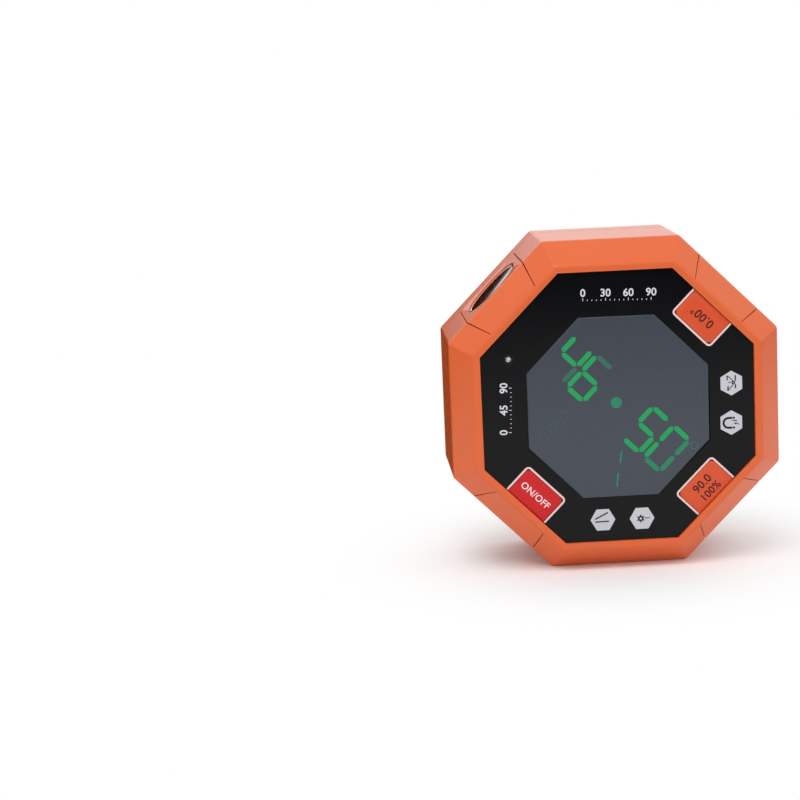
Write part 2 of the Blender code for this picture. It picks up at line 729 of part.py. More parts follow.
def recess():
    """Where the plate of the battery cover lies."""
    outline = rounded_rectangle(RECESS_LENGTH, RECESS_WIDTH, COVER_CORNER)
    return outline_mesh(outline, -REAR_FLOOR, COVER_SEAT)


def ear_recess():
    """Where the ear of the battery cover lies."""
    outline = ear_outline(COVER_EAR_RADIUS + CLEARANCE, RECESS_LENGTH / 2 - COVER_CORNER)
    return outline_mesh(outline, -REAR_FLOOR, COVER_SEAT)


def ear_outline(radius, start):
    """A tab along X from a start to the cover screw, round at the screw."""
    steps = SMALL_ROUND_STEPS
    arc = [math.pi * (step / steps - 0.5) for step in range(steps + 1)]
    tip = [(COVER_SCREW_X + radius * math.cos(angle), radius * math.sin(angle)) for angle in arc]
    return [(start, -radius), *tip, (start, radius)]


def screw_tip_height():
    return SCREW_HEAD_DEPTH + SCREW_HEAD_HEIGHT + SCREW_LENGTH


def board_screw_tip_height():
    return BOARD_BOTTOM - CLEARANCE + BOARD_SCREW_LENGTH


# Side caps, magnets and lasers

def cap_section():
    crest_side = CREST + CAP_CREST_MARGIN + CLEARANCE
    inner = OUTER - CAP_THICKNESS
    return [
        (crest_side, chamfer_height_at(crest_side)),
        (crest_side, LEDGE_BOTTOM),
        (inner, WALL_DEPTH - WALL),
        (inner, PARTING_HEIGHT),
        (OUTER, PARTING_HEIGHT),
        (OUTER, WALL_DEPTH),
    ]


def make_side_cap(build, name, angle, floor_depth):
    """A mitred insert with a flange behind the wall and a round cup for its disc."""
    def half_width(flat):
        return cap_half_width(flat, CLEARANCE)

    mesh = mitred_block(cap_section(), half_width)

    def outer_corner(*vertices):
        return all(near(vertex.co.x, OUTER) and near(vertex.co.z, WALL_DEPTH) for vertex in vertices)

    soften(mesh, outer_corner, EDGE_ROUND)
    cap = build.part("side_cap_" + name, mesh, "cap_plastic", turn=angle)
    flange_outer = INNER - CLEARANCE
    flange_inner = flange_outer - CAP_FLANGE_THICKNESS
    flange_low = PARTING_HEIGHT + CAP_FLANGE_MARGIN
    flange_high = WALL_DEPTH - WALL - CAP_FLANGE_MARGIN
    centre = ((flange_inner + flange_outer) / 2, 0, (flange_low + flange_high) / 2)
    width = 2 * (cap_half_width(INNER) + CAP_FLANGE_WIDTH)
    size = (CAP_FLANGE_THICKNESS, width, flange_high - flange_low)
    build.join(cap, "flange_" + name, boxes_mesh([(centre, size)]))
    pocket_floor = OUTER - floor_depth
    cup = rod_mesh(CUP_RADIUS, pocket_floor - CUP_FLOOR, OUTER - CAP_THICKNESS / 2, DISC_HEIGHT)
    build.join(cap, "cup_" + name, cup)
    pocket = rod_mesh(DISC_DIAMETER / 2 + CLEARANCE, pocket_floor, OUTER + WALL, DISC_HEIGHT)
    build.cut(cap, "disc_pocket_" + name, pocket)
    return cap


def make_magnet(build, name, angle):
    face = OUTER - DISC_SET_BACK
    mesh = rod_mesh(DISC_DIAMETER / 2, face - MAGNET_THICKNESS, face, DISC_HEIGHT)

    def rim(*vertices):
        return all(near(vertex.co.x, face) for vertex in vertices)

    soften(mesh, rim, EDGE_ROUND / 2, 1)
    build.part("magnet_" + name, mesh, "nickel", turn=angle)


def make_laser(build, name, angle, cap):
    """The red window, the barrel behind it and the lens in the barrel's mouth."""
    face = OUTER - DISC_SET_BACK
    window_back = face - WINDOW_THICKNESS
    window = rod_mesh(DISC_DIAMETER / 2, window_back, face, DISC_HEIGHT)
    build.part("laser_window_" + name, window, "red_window", turn=angle)
    barrel_front = window_back - CLEARANCE
    outer_radius = BARREL_DIAMETER / 2
    bore = rod_mesh(outer_radius + CLEARANCE, BARREL_BACK, barrel_front, DISC_HEIGHT)
    build.cut(cap, "barrel_bore_" + name, bore)
    lens_seat = BARREL_LENGTH - LENS_THICKNESS - 2 * CLEARANCE
    lens_radius = (outer_radius + BARREL_BORE / 2) / 2
    profile = [
        (lens_radius, BARREL_LENGTH),
        (outer_radius, BARREL_LENGTH),
        (outer_radius, 0),
        (0, 0),
        (0, BARREL_FLOOR),
        (BARREL_BORE / 2, BARREL_FLOOR),
        (BARREL_BORE / 2, lens_seat),
        (lens_radius, lens_seat),
    ]
    barrel = along_x(turned_mesh(profile, HIDDEN_ROUND_STEPS, closed=True))
    barrel.transform(Matrix.Translation((BARREL_BACK, 0, DISC_HEIGHT)))
    build.part("laser_barrel_" + name, barrel, "brass", turn=angle)
    lens_front = barrel_front - CLEARANCE
    lens = rod_mesh(lens_radius - CLEARANCE, lens_front - LENS_THICKNESS, lens_front, DISC_HEIGHT,
                    SMALL_ROUND_STEPS)
    build.part("laser_lens_" + name, lens, "lens_glass", turn=angle)


def make_sides(build):
    magnet_floor = DISC_SET_BACK + MAGNET_THICKNESS + CLEARANCE
    window_floor = DISC_SET_BACK + WINDOW_THICKNESS + CLEARANCE
    for name, angle in MAGNET_FACETS.items():
        make_side_cap(build, name, angle, magnet_floor)
        make_magnet(build, name, angle)
    for name, angle in LASER_FACETS.items():
        cap = make_side_cap(build, name, angle, window_floor)
        make_laser(build, name, angle, cap)


# Face: panel, window and keys

def key_outline(start, end, width, radius):
    """Outline of a key on the +X side: round corners towards the window, square ones at the rim."""
    half = width / 2
    turns = [math.pi / 2 * (1 + step / CORNER_STEPS) for step in range(CORNER_STEPS + 1)]
    upper = [(start + radius + radius * math.cos(turn), half - radius + radius * math.sin(turn))
             for turn in turns]
    lower = [(x, -y) for x, y in reversed(upper)]
    return [(end, half), *upper, *lower, (end, -half)]


def lamp_spot():
    """The lamp's place at its angle, halfway between the window and the edge of the panel."""
    middle = (DISPLAY + WELL) / 2
    return polar(LED_ANGLE, middle / flat_distance(*polar(LED_ANGLE, 1)))


def make_front_panel(build):
    outer = WELL - CLEARANCE
    profile = [
        (outer, PANEL_TOP),
        (outer, PANEL_BOTTOM),
        (DISPLAY, PANEL_BOTTOM),
        (DISPLAY, PANEL_TOP),
    ]
    panel = build.part("front_panel", octagonal_mesh(profile, closed=True), "black_acrylic")
    outline = key_outline(KEY_OPENING_START, WELL + WALL, KEY_OPENING_WIDTH, KEY_CORNER)
    for name, angle in KEY_FACETS.items():
        opening = outline_mesh(outline, PANEL_BOTTOM - WALL, PANEL_TOP + WALL)
        build.cut(panel, "key_opening_" + name, opening, angle)
    hole_radius = LED_TIP_DIAMETER / 2 + CLEARANCE
    hole = pegs_mesh([lamp_spot()], hole_radius, PANEL_BOTTOM - WALL, PANEL_TOP + WALL,
                     SMALL_ROUND_STEPS)
    build.cut(panel, "led_hole", hole)


def make_key(build, name, angle, material):
    """A key cap with a flange under the panel and a stem towards its switch."""
    length = KEY_OPENING_REACH - 2 * CLEARANCE
    width = KEY_OPENING_WIDTH - 2 * CLEARANCE
    top = PANEL_TOP + KEY_PROUD
    outline = key_outline(-length / 2, length / 2, width, KEY_CORNER - CLEARANCE)
    cap = outline_mesh(outline, KEY_FLANGE_TOP - CLEARANCE, top)

    def top_edge(*vertices):
        return all(near(vertex.co.z, top) for vertex in vertices)

    soften(cap, top_edge, KEY_PROUD)
    key = build.part(name + "_key", cap, material, (*polar(angle, KEY_CENTRE), 0), angle)
    flange_width = width + 2 * KEY_FLANGE_WIDTH
    flange = boxes_mesh([((0, 0, (KEY_FLANGE_TOP + KEY_FLANGE_BOTTOM) / 2),
                          (length, flange_width, KEY_FLANGE_THICKNESS))])
    build.join(key, name + "_flange", flange)
    stem = pegs_mesh([(0, 0)], KEY_STEM_DIAMETER / 2, KEY_STEM_BOTTOM,
                     KEY_FLANGE_TOP - CLEARANCE, SMALL_ROUND_STEPS)
    build.join(key, name + "_stem", stem)


def make_switch(build, name, angle):
    spot = (*polar(angle, KEY_CENTRE), 0)
    centre = (0, 0, (SWITCH_TOP + SWITCH_BOTTOM) / 2)
    body = boxes_mesh([(centre, (SWITCH_SIDE, SWITCH_SIDE, SWITCH_HEIGHT))])
    switch = build.part("switch_body_" + name, body, "black_plastic", spot, angle)
    plunger_bottom = SWITCH_TOP - PLUNGER_INSERT
    well_floor = plunger_bottom - KEY_TRAVEL - CLEARANCE
    well = pegs_mesh([(0, 0)], PLUNGER_DIAMETER / 2 + CLEARANCE, well_floor, SWITCH_TOP + WALL,
                     SMALL_ROUND_STEPS)
    build.cut(switch, "plunger_well_" + name, well)
    plunger = pegs_mesh([(0, 0)], PLUNGER_DIAMETER / 2, plunger_bottom, PLUNGER_TOP, SMALL_ROUND_STEPS)
    build.part("switch_plunger_" + name, plunger, "white_plastic", spot, angle)


def make_face(build):
    make_front_panel(build)
    window = octagonal_slab(DISPLAY - CLEARANCE, PANEL_BOTTOM, PANEL_TOP)
    build.part("display_window", window, "smoked_acrylic")
    for name, angle in KEY_FACETS.items():
        make_key(build, name, angle, "red_key" if name == "power" else "orange_key")
        make_switch(build, name, angle)


# Display stack, board and components

def make_display_stack(build):
    glass_flat = DISPLAY + DISPLAY_OVERLAP
    build.part("display_glass", octagonal_slab(glass_flat, GLASS_BOTTOM, GLASS_TOP), "display_glass")
    diffuser = octagonal_slab(glass_flat, DIFFUSER_BOTTOM, DIFFUSER_TOP)
    build.part("backlight_diffuser", diffuser, "diffuser")
    inner = glass_flat + CLEARANCE
    outer = inner + DISPLAY_FRAME_WALL
    shelf = inner - DISPLAY_FRAME_SHELF
    shelf_bottom = SHELF_TOP - SHELF_THICKNESS
    foot = BOARD_TOP + CLEARANCE
    profile = [
        (outer, GLASS_TOP),
        (outer, foot),
        (inner, foot),
        (inner, shelf_bottom),
        (shelf, shelf_bottom),
        (shelf, SHELF_TOP),
        (inner, SHELF_TOP),
        (inner, GLASS_TOP),
    ]
    build.part("display_frame", octagonal_mesh(profile, closed=True), "white_plastic")


def make_main_board(build):
    board = build.part("main_board", octagonal_slab(BOARD, BOARD_BOTTOM, BOARD_TOP), "circuit_board")
    low = BOARD_BOTTOM - WALL
    high = BOARD_TOP + WALL
    notches = pegs_mesh(boss_spots(), BOSS_DIAMETER / 2 + 2 * CLEARANCE, low, high)
    build.cut(board, "boss_notches", notches)
    hole_radius = BOARD_SCREW_DIAMETER / 2 + CLEARANCE
    holes = pegs_mesh(post_spots(), hole_radius, low, high, SMALL_ROUND_STEPS)
    build.cut(board, "board_screw_holes", holes)


def make_components(build):
    """What hangs under the board."""
    chip_centre = (0, 0, UNDER_BOARD - CONTROLLER_HEIGHT / 2)
    chip = boxes_mesh([(chip_centre, (CONTROLLER_SIDE, CONTROLLER_SIDE, CONTROLLER_HEIGHT))])
    build.part("controller_chip", chip, "black_plastic")
    sensor_centre = (*SENSOR_PLACE, UNDER_BOARD - SENSOR_HEIGHT / 2)
    sensor = boxes_mesh([(sensor_centre, (SENSOR_SIDE, SENSOR_SIDE, SENSOR_HEIGHT))])
    build.part("tilt_sensor", sensor, "black_plastic")
    make_buzzer(build)
    width, length, height = CRYSTAL_SIZE
    can = outline_mesh(rounded_rectangle(width, length, CRYSTAL_CORNER), UNDER_BOARD - height, UNDER_BOARD)
    build.part("clock_crystal", can, "steel", (-CRYSTAL_DISTANCE, 0, 0))
    make_regulator(build)
    make_choke(build)


def make_regulator(build):
    """A flat package with a cooling tab at its edge."""
    centre = (0, 0, UNDER_BOARD - REGULATOR_HEIGHT / 2)
    body = boxes_mesh([(centre, (REGULATOR_SIDE, REGULATOR_SIDE, REGULATOR_HEIGHT))])
    regulator = build.part("voltage_regulator", body, "black_plastic", (*REGULATOR_PLACE, 0))
    tab_height = REGULATOR_HEIGHT / 3
    reach = REGULATOR_SIDE / 2 + REGULATOR_TAB
    tab_centre = (0, reach / 2, UNDER_BOARD - REGULATOR_HEIGHT + tab_height)
    tab = boxes_mesh([(tab_centre, (REGULATOR_SIDE / 2, reach, tab_height))])
    build.join(regulator, "cooling_tab", tab)


def make_choke(build):
    """A round choke with a waist between two flanges."""
    waist_head = CHOKE_HEIGHT - CHOKE_FLANGE
    profile = [
        (0, CHOKE_HEIGHT),
        (CHOKE_DIAMETER / 2, CHOKE_HEIGHT),
        (CHOKE_DIAMETER / 2, waist_head),
        (CHOKE_WAIST / 2, waist_head),
        (CHOKE_WAIST / 2, CHOKE_FLANGE),
        (CHOKE_DIAMETER / 2, CHOKE_FLANGE),
        (CHOKE_DIAMETER / 2, 0),
        (0, 0),
    ]
    choke = turned_mesh(profile, SMALL_ROUND_STEPS)
    build.part("choke_coil", choke, "black_plastic", (*CHOKE_PLACE, UNDER_BOARD - CHOKE_HEIGHT))


def make_leads(build):
    """Leads up to the board, from the back of each laser barrel and from the battery contacts."""
    shares = [step / (LEAD_POINTS - 1) for step in range(LEAD_POINTS)]
    start = BARREL_BACK - CLEARANCE
    rise = UNDER_BOARD - DISC_HEIGHT
    bend = [(start - LASER_LEAD_REACH * math.sin(math.pi / 2 * share), 0,
             DISC_HEIGHT + rise * (1 - math.cos(math.pi / 2 * share))) for share in shares]
    for name, angle in LASER_FACETS.items():
        lead = rod_along(bend, LEAD_DIAMETER / 2, 2)
        build.part("laser_lead_" + name, lead, "black_lead", turn=angle)
    tab_top = BLOCK_TOP + TAB_PROUD + CLEARANCE
    climb = UNDER_BOARD - tab_top
    sway = [(CONTACT_PLACE - BATTERY_LEAD_REACH * (1 - math.cos(math.pi * share)) / 2, 0,
             tab_top + climb * share) for share in shares]
    for name, side, material in (("positive", 1, "red_lead"), ("negative", -1, "black_lead")):
        lead = rod_along(sway, LEAD_DIAMETER / 2, 2)
        build.part("battery_lead_" + name, lead, material, (0, side * CELL_OFFSET, 0))


def make_buzzer(build):
    profile = [
        (0, BUZZER_HEIGHT),
        (BUZZER_DIAMETER / 2, BUZZER_HEIGHT),
        (BUZZER_DIAMETER / 2, 0),
        (BUZZER_HOLE / 2, 0),
        (BUZZER_HOLE / 2, BUZZER_HEIGHT / 2),
        (0, BUZZER_HEIGHT / 2),
    ]
    buzzer = turned_mesh(profile, HIDDEN_ROUND_STEPS)
    build.part("buzzer", buzzer, "black_plastic", (0, -BUZZER_DISTANCE, UNDER_BOARD - BUZZER_HEIGHT))


def make_status_led(build):
    """A lamp whose thin tip looks out of a hole in the panel."""
    tip_top = PANEL_TOP - CLEARANCE
    body_top = PANEL_BOTTOM - CLEARANCE
    body_bottom = body_top - LED_BODY_LENGTH
    foot = BOARD_TOP + CLEARANCE
    tip = LED_TIP_DIAMETER / 2
    profile = [
        (0, tip_top),
        (tip / 2, tip_top),
        (tip, tip_top - tip / 2),
        (tip, body_top),
        (LED_BODY_DIAMETER / 2, body_top),
        (LED_BODY_DIAMETER / 2, body_bottom),
        (LED_LEG_DIAMETER / 2, body_bottom),
        (LED_LEG_DIAMETER / 2, foot),
        (0, foot),
    ]
    led = turned_mesh(profile, SMALL_ROUND_STEPS)
    build.part("status_led", led, "led_resin", (*lamp_spot(), 0))


# Screws

def screw_mesh(diameter, length, head_diameter, head_height):
    """A pan-head screw whose head lies on height 0 and whose tip points up."""
    shank = diameter / 2
    head = head_diameter / 2
    round_off = head_height / 3
    tip = head_height + length
    profile = [
        (0, tip),
        (shank / 2, tip),
        (shank, tip - shank),
        (shank, head_height),
        (head, head_height),
        (head, round_off),
        (head - round_off, 0),
        (0, 0),
    ]
    return turned_mesh(profile, SMALL_ROUND_STEPS)


def make_screws(build):
    for number, spot in enumerate(boss_spots(), 1):
        screw = screw_mesh(SCREW_DIAMETER, SCREW_LENGTH, SCREW_HEAD_DIAMETER, SCREW_HEAD_HEIGHT)
        build.part("housing_screw_%d" % number, screw, "steel", (*spot, SCREW_HEAD_DEPTH))
    head_low = BOARD_BOTTOM - CLEARANCE - BOARD_SCREW_HEAD_HEIGHT
    for number, spot in enumerate(post_spots(), 1):
        screw = screw_mesh(BOARD_SCREW_DIAMETER, BOARD_SCREW_LENGTH, BOARD_SCREW_HEAD,
                           BOARD_SCREW_HEAD_HEIGHT)
        build.part("board_screw_%d" % number, screw, "steel", (*spot, head_low))


# Cells, contacts and cover

def make_cell(build, name, side):
    """One cell; side +1 has its nub towards +X, side -1 towards -X."""
    radius = CELL_DIAMETER / 2
    nub = CELL_NUB_DIAMETER / 2
    can = CELL_LENGTH - CELL_NUB_LENGTH
    profile = [
        (0, CELL_LENGTH),
        (nub, CELL_LENGTH),
        (nub, can),
        (radius - CELL_EDGE, can),
        (radius, can - CELL_EDGE),
        (radius, CELL_EDGE),
        (radius - CELL_EDGE, 0),
        (0, 0),
    ]
    cell = along_x(turned_mesh(profile, HIDDEN_ROUND_STEPS))
    start = -CAVITY_LENGTH / 2 + CONTACT_THICKNESS + SPRING_LENGTH + 3 * CLEARANCE
    cell.transform(Matrix.Translation((start, 0, CELL_HEIGHT)))
    turn = 0 if side > 0 else 180
    build.part("battery_" + name, cell, "cell_jacket", (0, side * CELL_OFFSET, 0), turn)


def spring_mesh():
    """A conical coil along X that narrows towards the cell."""
    count = SPRING_TURNS * SPRING_POINTS_PER_TURN
    reach = SPRING_LENGTH - SPRING_WIRE
    points = []
    for number in range(count + 1):
        share = number / count
        angle = 2 * math.pi * SPRING_TURNS * share
        radius = (SPRING_WIDE + (SPRING_NARROW - SPRING_WIDE) * share - SPRING_WIRE) / 2
        points.append((SPRING_WIRE / 2 + reach * share, radius * math.cos(angle), radius * math.sin(angle)))
    return rod_along(points, SPRING_WIRE / 2, 1)


def contact_outline():
    """Outline of an end contact, across and up, with the tab that passes through the roof."""
    half = (CELL_DIAMETER - 3 * CLEARANCE) / 2
    low = CELL_HEIGHT - CONTACT_HEIGHT / 2
    shoulder = CELL_HEIGHT + CONTACT_HEIGHT / 2
    head = BLOCK_TOP + TAB_PROUD
    tab = TAB_WIDTH / 2
    right = [(half, low), (half, shoulder), (tab, shoulder), (tab, head)]
    return right + [(-y, z) for y, z in reversed(right)]


def make_contacts(build):
    both = (CONTACT_THICKNESS, CAVITY_WIDTH - 2 * CLEARANCE, CONTACT_HEIGHT)
    bridge = boxes_mesh([((-CONTACT_PLACE, 0, CELL_HEIGHT), both)])
    build.part("contact_bridge", bridge, "nickel")
    half_plate = CONTACT_THICKNESS / 2
    for name, side in (("positive", 1), ("negative", -1)):
        plate = outline_mesh(contact_outline(), -half_plate, half_plate)
        plate.transform(Matrix.Rotation(math.pi / 2, 4, "Z") @ Matrix.Rotation(math.pi / 2, 4, "X"))
        build.part("contact_" + name, plate, "nickel", (CONTACT_PLACE, side * CELL_OFFSET, 0))
    for name, side in (("upper", 1), ("lower", -1)):
        spring = spring_mesh()
        foot = CONTACT_THICKNESS / 2 + CLEARANCE - CONTACT_PLACE
        spring.transform(Matrix.Translation((foot, 0, CELL_HEIGHT)))
        turn = 0 if side > 0 else 180
        build.part("battery_spring_" + name, spring, "steel", (0, side * CELL_OFFSET, 0), turn)


def make_battery_cover(build):
    length = RECESS_LENGTH - 2 * CLEARANCE
    width = RECESS_WIDTH - 2 * CLEARANCE
    plate = outline_mesh(rounded_rectangle(length, width, COVER_CORNER), 0, COVER_THICKNESS)
    cover = build.part("battery_cover", plate, "orange_plastic")
    ear = outline_mesh(ear_outline(COVER_EAR_RADIUS, length / 2 - COVER_CORNER), 0, COVER_THICKNESS)
    build.join(cover, "cover_ear", ear)
    half_plate = COVER_THICKNESS / 2
    tongue_x = -CAVITY_LENGTH / 2 + CLEARANCE + COVER_TONGUE_THICKNESS / 2
    tongue_height = half_plate + COVER_TONGUE_HEIGHT
    size = (COVER_TONGUE_THICKNESS, COVER_TONGUE_LENGTH, tongue_height)
    tongues = [((tongue_x, side * CELL_OFFSET, half_plate + tongue_height / 2), size) for side in (1, -1)]
    build.join(cover, "cover_tongues", boxes_mesh(tongues))
    last = length / 2 - GRIP_MARGIN
    size = (GRIP_WIDTH, GRIP_LENGTH, 2 * GRIP_DEPTH)
    grooves = [((last - number * GRIP_PITCH, 0, 0), size) for number in range(GRIP_GROOVES)]
    build.cut(cover, "grip_grooves", boxes_mesh(grooves))
    return cover


def make_battery_parts(build):
    make_cell(build, "upper", 1)
    make_cell(build, "lower", -1)
    make_contacts(build)
    cover = make_battery_cover(build)
    hole = pegs_mesh([(COVER_SCREW_X, 0)], COVER_SCREW_DIAMETER / 2 + CLEARANCE, -REAR_FLOOR,
                     COVER_THICKNESS + REAR_FLOOR, SMALL_ROUND_STEPS)
    build.cut(cover, "cover_screw_hole", hole)
    head_top = COVER_SCREW_HEAD_HEIGHT + CLEARANCE
    head = pegs_mesh([(COVER_SCREW_X, 0)], COVER_SCREW_HEAD / 2 + CLEARANCE, -REAR_FLOOR, head_top)
    build.cut(cover, "cover_screw_head_pocket", head)
    screw = screw_mesh(COVER_SCREW_DIAMETER, COVER_SCREW_LENGTH, COVER_SCREW_HEAD,
                       COVER_SCREW_HEAD_HEIGHT)
    build.part("battery_cover_screw", screw, "steel", (COVER_SCREW_X, 0, 0))


def main():
    clear_scene()
    build = Builder()
    make_front_housing(build)
    make_rear_housing(build)
    make_sides(build)
    make_face(build)
    make_display_stack(build)
    make_main_board(build)
    make_components(build)
    make_status_led(build)
    make_leads(build)
    make_screws(build)
    make_battery_parts(build)


main()
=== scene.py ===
"""The looks of a digital angle gauge: its finishes, printed marks, keys, discs, screws and stage.

Each operator dresses one piece, or one group of like pieces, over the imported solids. Marks on
the face are laid out in dial coordinates: x to the right, y up the dial, h out of the panel.
"""

import math

import bmesh
import bpy
from bpy.props import FloatProperty, FloatVectorProperty, PointerProperty, StringProperty
from mathutils import Matrix, Vector


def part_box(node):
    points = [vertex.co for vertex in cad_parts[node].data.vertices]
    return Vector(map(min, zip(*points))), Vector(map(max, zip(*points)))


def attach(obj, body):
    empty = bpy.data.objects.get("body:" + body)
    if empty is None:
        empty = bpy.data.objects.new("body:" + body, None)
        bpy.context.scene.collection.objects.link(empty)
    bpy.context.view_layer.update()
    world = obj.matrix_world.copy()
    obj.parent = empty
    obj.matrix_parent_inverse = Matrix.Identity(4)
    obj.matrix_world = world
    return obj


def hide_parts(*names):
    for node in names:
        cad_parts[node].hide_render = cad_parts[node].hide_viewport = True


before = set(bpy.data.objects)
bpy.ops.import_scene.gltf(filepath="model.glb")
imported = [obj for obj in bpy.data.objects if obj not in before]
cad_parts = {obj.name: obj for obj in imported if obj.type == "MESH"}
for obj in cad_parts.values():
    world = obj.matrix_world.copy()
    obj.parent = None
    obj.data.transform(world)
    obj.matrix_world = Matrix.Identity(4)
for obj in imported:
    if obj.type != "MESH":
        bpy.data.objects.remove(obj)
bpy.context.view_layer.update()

bl_info = {
    "name": "Digital Angle Gauge",
    "version": (1, 0, 0),
    "blender": (4, 5, 0),
    "location": "3D View > Sidebar > Angle Gauge",
    "description": "Dresses the solids of a digital angle gauge and sets a plain studio round it",
    "category": "Object",
}

MM = 0.001
PANEL_LOW, PANEL_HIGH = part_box("front_panel")
HOUSING_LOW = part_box("front_housing")[0]
WINDOW_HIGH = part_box("display_window")[1]
FACE = PANEL_LOW.y
CENTRE_HEIGHT = (PANEL_LOW.z + PANEL_HIGH.z) / 2
RIM_RISE = FACE - HOUSING_LOW.y
PANEL_FLAT = PANEL_HIGH.x
WINDOW_FLAT = WINDOW_HIGH.x

# Dial coordinates to the frame's
DIAL = Matrix.Translation((0, FACE, CENTRE_HEIGHT)) @ Matrix.Rotation(math.pi / 2, 4, "X")
SIDE_ANGLE = math.pi / 4
WELD = 1e-6
FLAT_TURN = math.radians(0.4)
SHARP_TURN = math.radians(32)

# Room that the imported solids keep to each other
CLEARANCE = 0.3 * MM

# Height of a capital letter as a share of the font's size
CAPITAL_SHARE = 0.7

# Depth under a key's top in which all its points belong to the cap and none to the flange
CAP_POINTS_DEPTH = 1.2 * MM

# The frame brings materials of its own, so a finish made here has a name that none of them has
FINISH = "gauge_"

MAGNETS = {"upper_left": 135, "lower_right": 315}
LASERS = {"upper_right": 45, "lower_left": 225}
KEYS = {"power": 225, "zero": 45, "hold": 315}

# Heights of the printed layers over the panel
PRINT_LOW = -0.01 * MM
PRINT_HIGH = 0.02 * MM
SECOND_LOW = 0.015 * MM
SECOND_HIGH = 0.035 * MM


def srgb(red, green, blue):
    """The linear colour of an 8-bit display colour."""
    def channel(value):
        share = value / 255
        return share / 12.92 if share <= 0.04045 else ((share + 0.055) / 1.055) ** 2.4
    return channel(red), channel(green), channel(blue)


def colour_of(name, words, red, green, blue):
    return FloatVectorProperty(name=name, description=words, subtype="COLOR", size=3, min=0, max=1,
                               default=srgb(red, green, blue))


def length_of(name, words, millimetres):
    return FloatProperty(name=name, description=words, unit="LENGTH", min=0, default=millimetres * MM,
                         precision=5)


def share_of(name, words, value):
    return FloatProperty(name=name, description=words, subtype="FACTOR", min=0, max=1, default=value)


class HousingLooks(bpy.types.PropertyGroup):
    """The moulded housing and the caps in its slanting walls"""
    colour: colour_of("Housing", "Colour of the moulded housing", 222, 99, 47)
    cap_colour: colour_of("Side caps", "Colour of the caps in the slanting walls", 223, 101, 50)
    roughness: share_of("Roughness", "How matt the moulded plastic is", 0.22)
    grain_depth: length_of("Grain depth", "Depth of the fine moulded grain", 0.0015)
    lip_round: length_of("Lip round", "Rounding of the lip round the panel", 0.28)
    seam: length_of("Seam", "Width of the joint round a side cap", 0.02)


class PanelLooks(bpy.types.PropertyGroup):
    """The glossy face panel and what is printed on it"""
    colour: colour_of("Panel", "Colour of the glossy face panel", 10, 11, 13)
    ink: colour_of("Marks", "Ink of the scales", 214, 214, 220)
    badge: colour_of("Badges", "Fill of the six-sided badges", 198, 198, 206)
    symbol: colour_of("Symbols", "Ink of the symbols on the badges", 26, 26, 30)
    outline: colour_of("Key outlines", "Ink of the lines round the keys", 236, 205, 203)
    gap: length_of("Gap", "Width of the joint between the panel and the rim", 0.1)
    edge: length_of("Edge", "Rounding of the panel's edges", 0.1)
    outline_width: length_of("Outline width", "Width of the lines round the keys", 0.52)
    outline_corner: length_of("Outline corner", "Inner rounding of the lines round the keys", 0.65)
    number_size: length_of("Number size", "Height of the scales' numbers", 1.95)
    badge_radius: length_of("Badge radius", "Distance of a badge's corners from its middle", 3.25)


class DisplayLooks(bpy.types.PropertyGroup):
    """The smoked window and its segments"""
    colour: colour_of("Window", "Colour of the smoked window", 60, 66, 76)
    lit: colour_of("Lit", "Colour of a lit segment", 30, 160, 90)
    half_lit: colour_of("Half lit", "Colour of a weaker segment", 44, 132, 98)
    dim: colour_of("Dim", "Colour of a segment that is nearly out", 58, 106, 94)
    ghost: colour_of("Ghost", "Colour of the parts that are out", 66, 88, 88)
    digit_height: length_of("Digit height", "Height of a digit", 12.4)
    digit_width: length_of("Digit width", "Width of a digit", 6.85)
    bar_width: length_of("Bar width", "Width of a digit's segments", 1.28)
    reading: StringProperty(name="Reading", description="Four digits, a point stands in their middle",
                            default="4650")


class KeyLooks(bpy.types.PropertyGroup):
    """The three keys and their words"""
    power: colour_of("Power key", "Colour of the power key", 200, 20, 24)
    orange: colour_of("Orange keys", "Colour of the other two keys", 214, 80, 40)
    pale_ink: colour_of("Pale ink", "Ink on the power key", 238, 214, 214)
    dark_ink: colour_of("Dark ink", "Ink on the orange keys", 60, 16, 26)
    gap: length_of("Gap", "Width of the joint round a key", 0.12)
    letter: length_of("Letter", "Height of the letters on the keys", 2.0)
    shoulder: length_of("Shoulder", "Width of the slope round a key's top", 0.75)
    rim_shoulder: length_of("Rim shoulder", "Width of the slope on the side of the rim", 1.35)
    drop: length_of("Drop", "How far a key's top falls away to its edge", 0.28)
    corner: length_of("Corner", "Rounding of a key's two inner corners", 1.0)
    hidden: length_of("Hidden", "Depth to which a key's visible top reaches into the panel", 1.5)


class MetalLooks(bpy.types.PropertyGroup):
    """Magnets, screws, contacts and cells"""
    nickel: colour_of("Nickel", "Colour of the plated magnets", 208, 204, 202)
    steel: colour_of("Steel", "Colour of the screws and springs", 165, 165, 168)
    brass: colour_of("Brass", "Colour of the laser barrels", 190, 150, 80)
    slot_width: length_of("Slot width", "Width of a screw's cross recess", 0.75)


class StudioLooks(bpy.types.PropertyGroup):
    """Floor, light and camera"""
    floor: colour_of("Floor", "Colour of the pale floor", 250, 250, 250)
    sky: FloatProperty(name="Sky", description="Strength of the soft light from all round", default=0.84)
    lamp: FloatProperty(name="Lamp", description="Power of the soft lamp overhead", unit="POWER",
                        default=2.0)
    camera_place: FloatVectorProperty(name="Camera", description="Where the camera stands",
                                      subtype="TRANSLATION", unit="LENGTH", size=3,
                                      default=(-78.56 * MM, -577.09 * MM, 145.15 * MM))
    camera_turn: FloatVectorProperty(name="Camera turn", description="The camera's rotation",
                                     subtype="EULER", unit="ROTATION", size=3,
                                     default=tuple(map(math.radians, (80.1066, 2.5295, -2.722))))
    lens: FloatProperty(name="Lens", description="Focal length", unit="CAMERA", default=99.5)


# Node trees

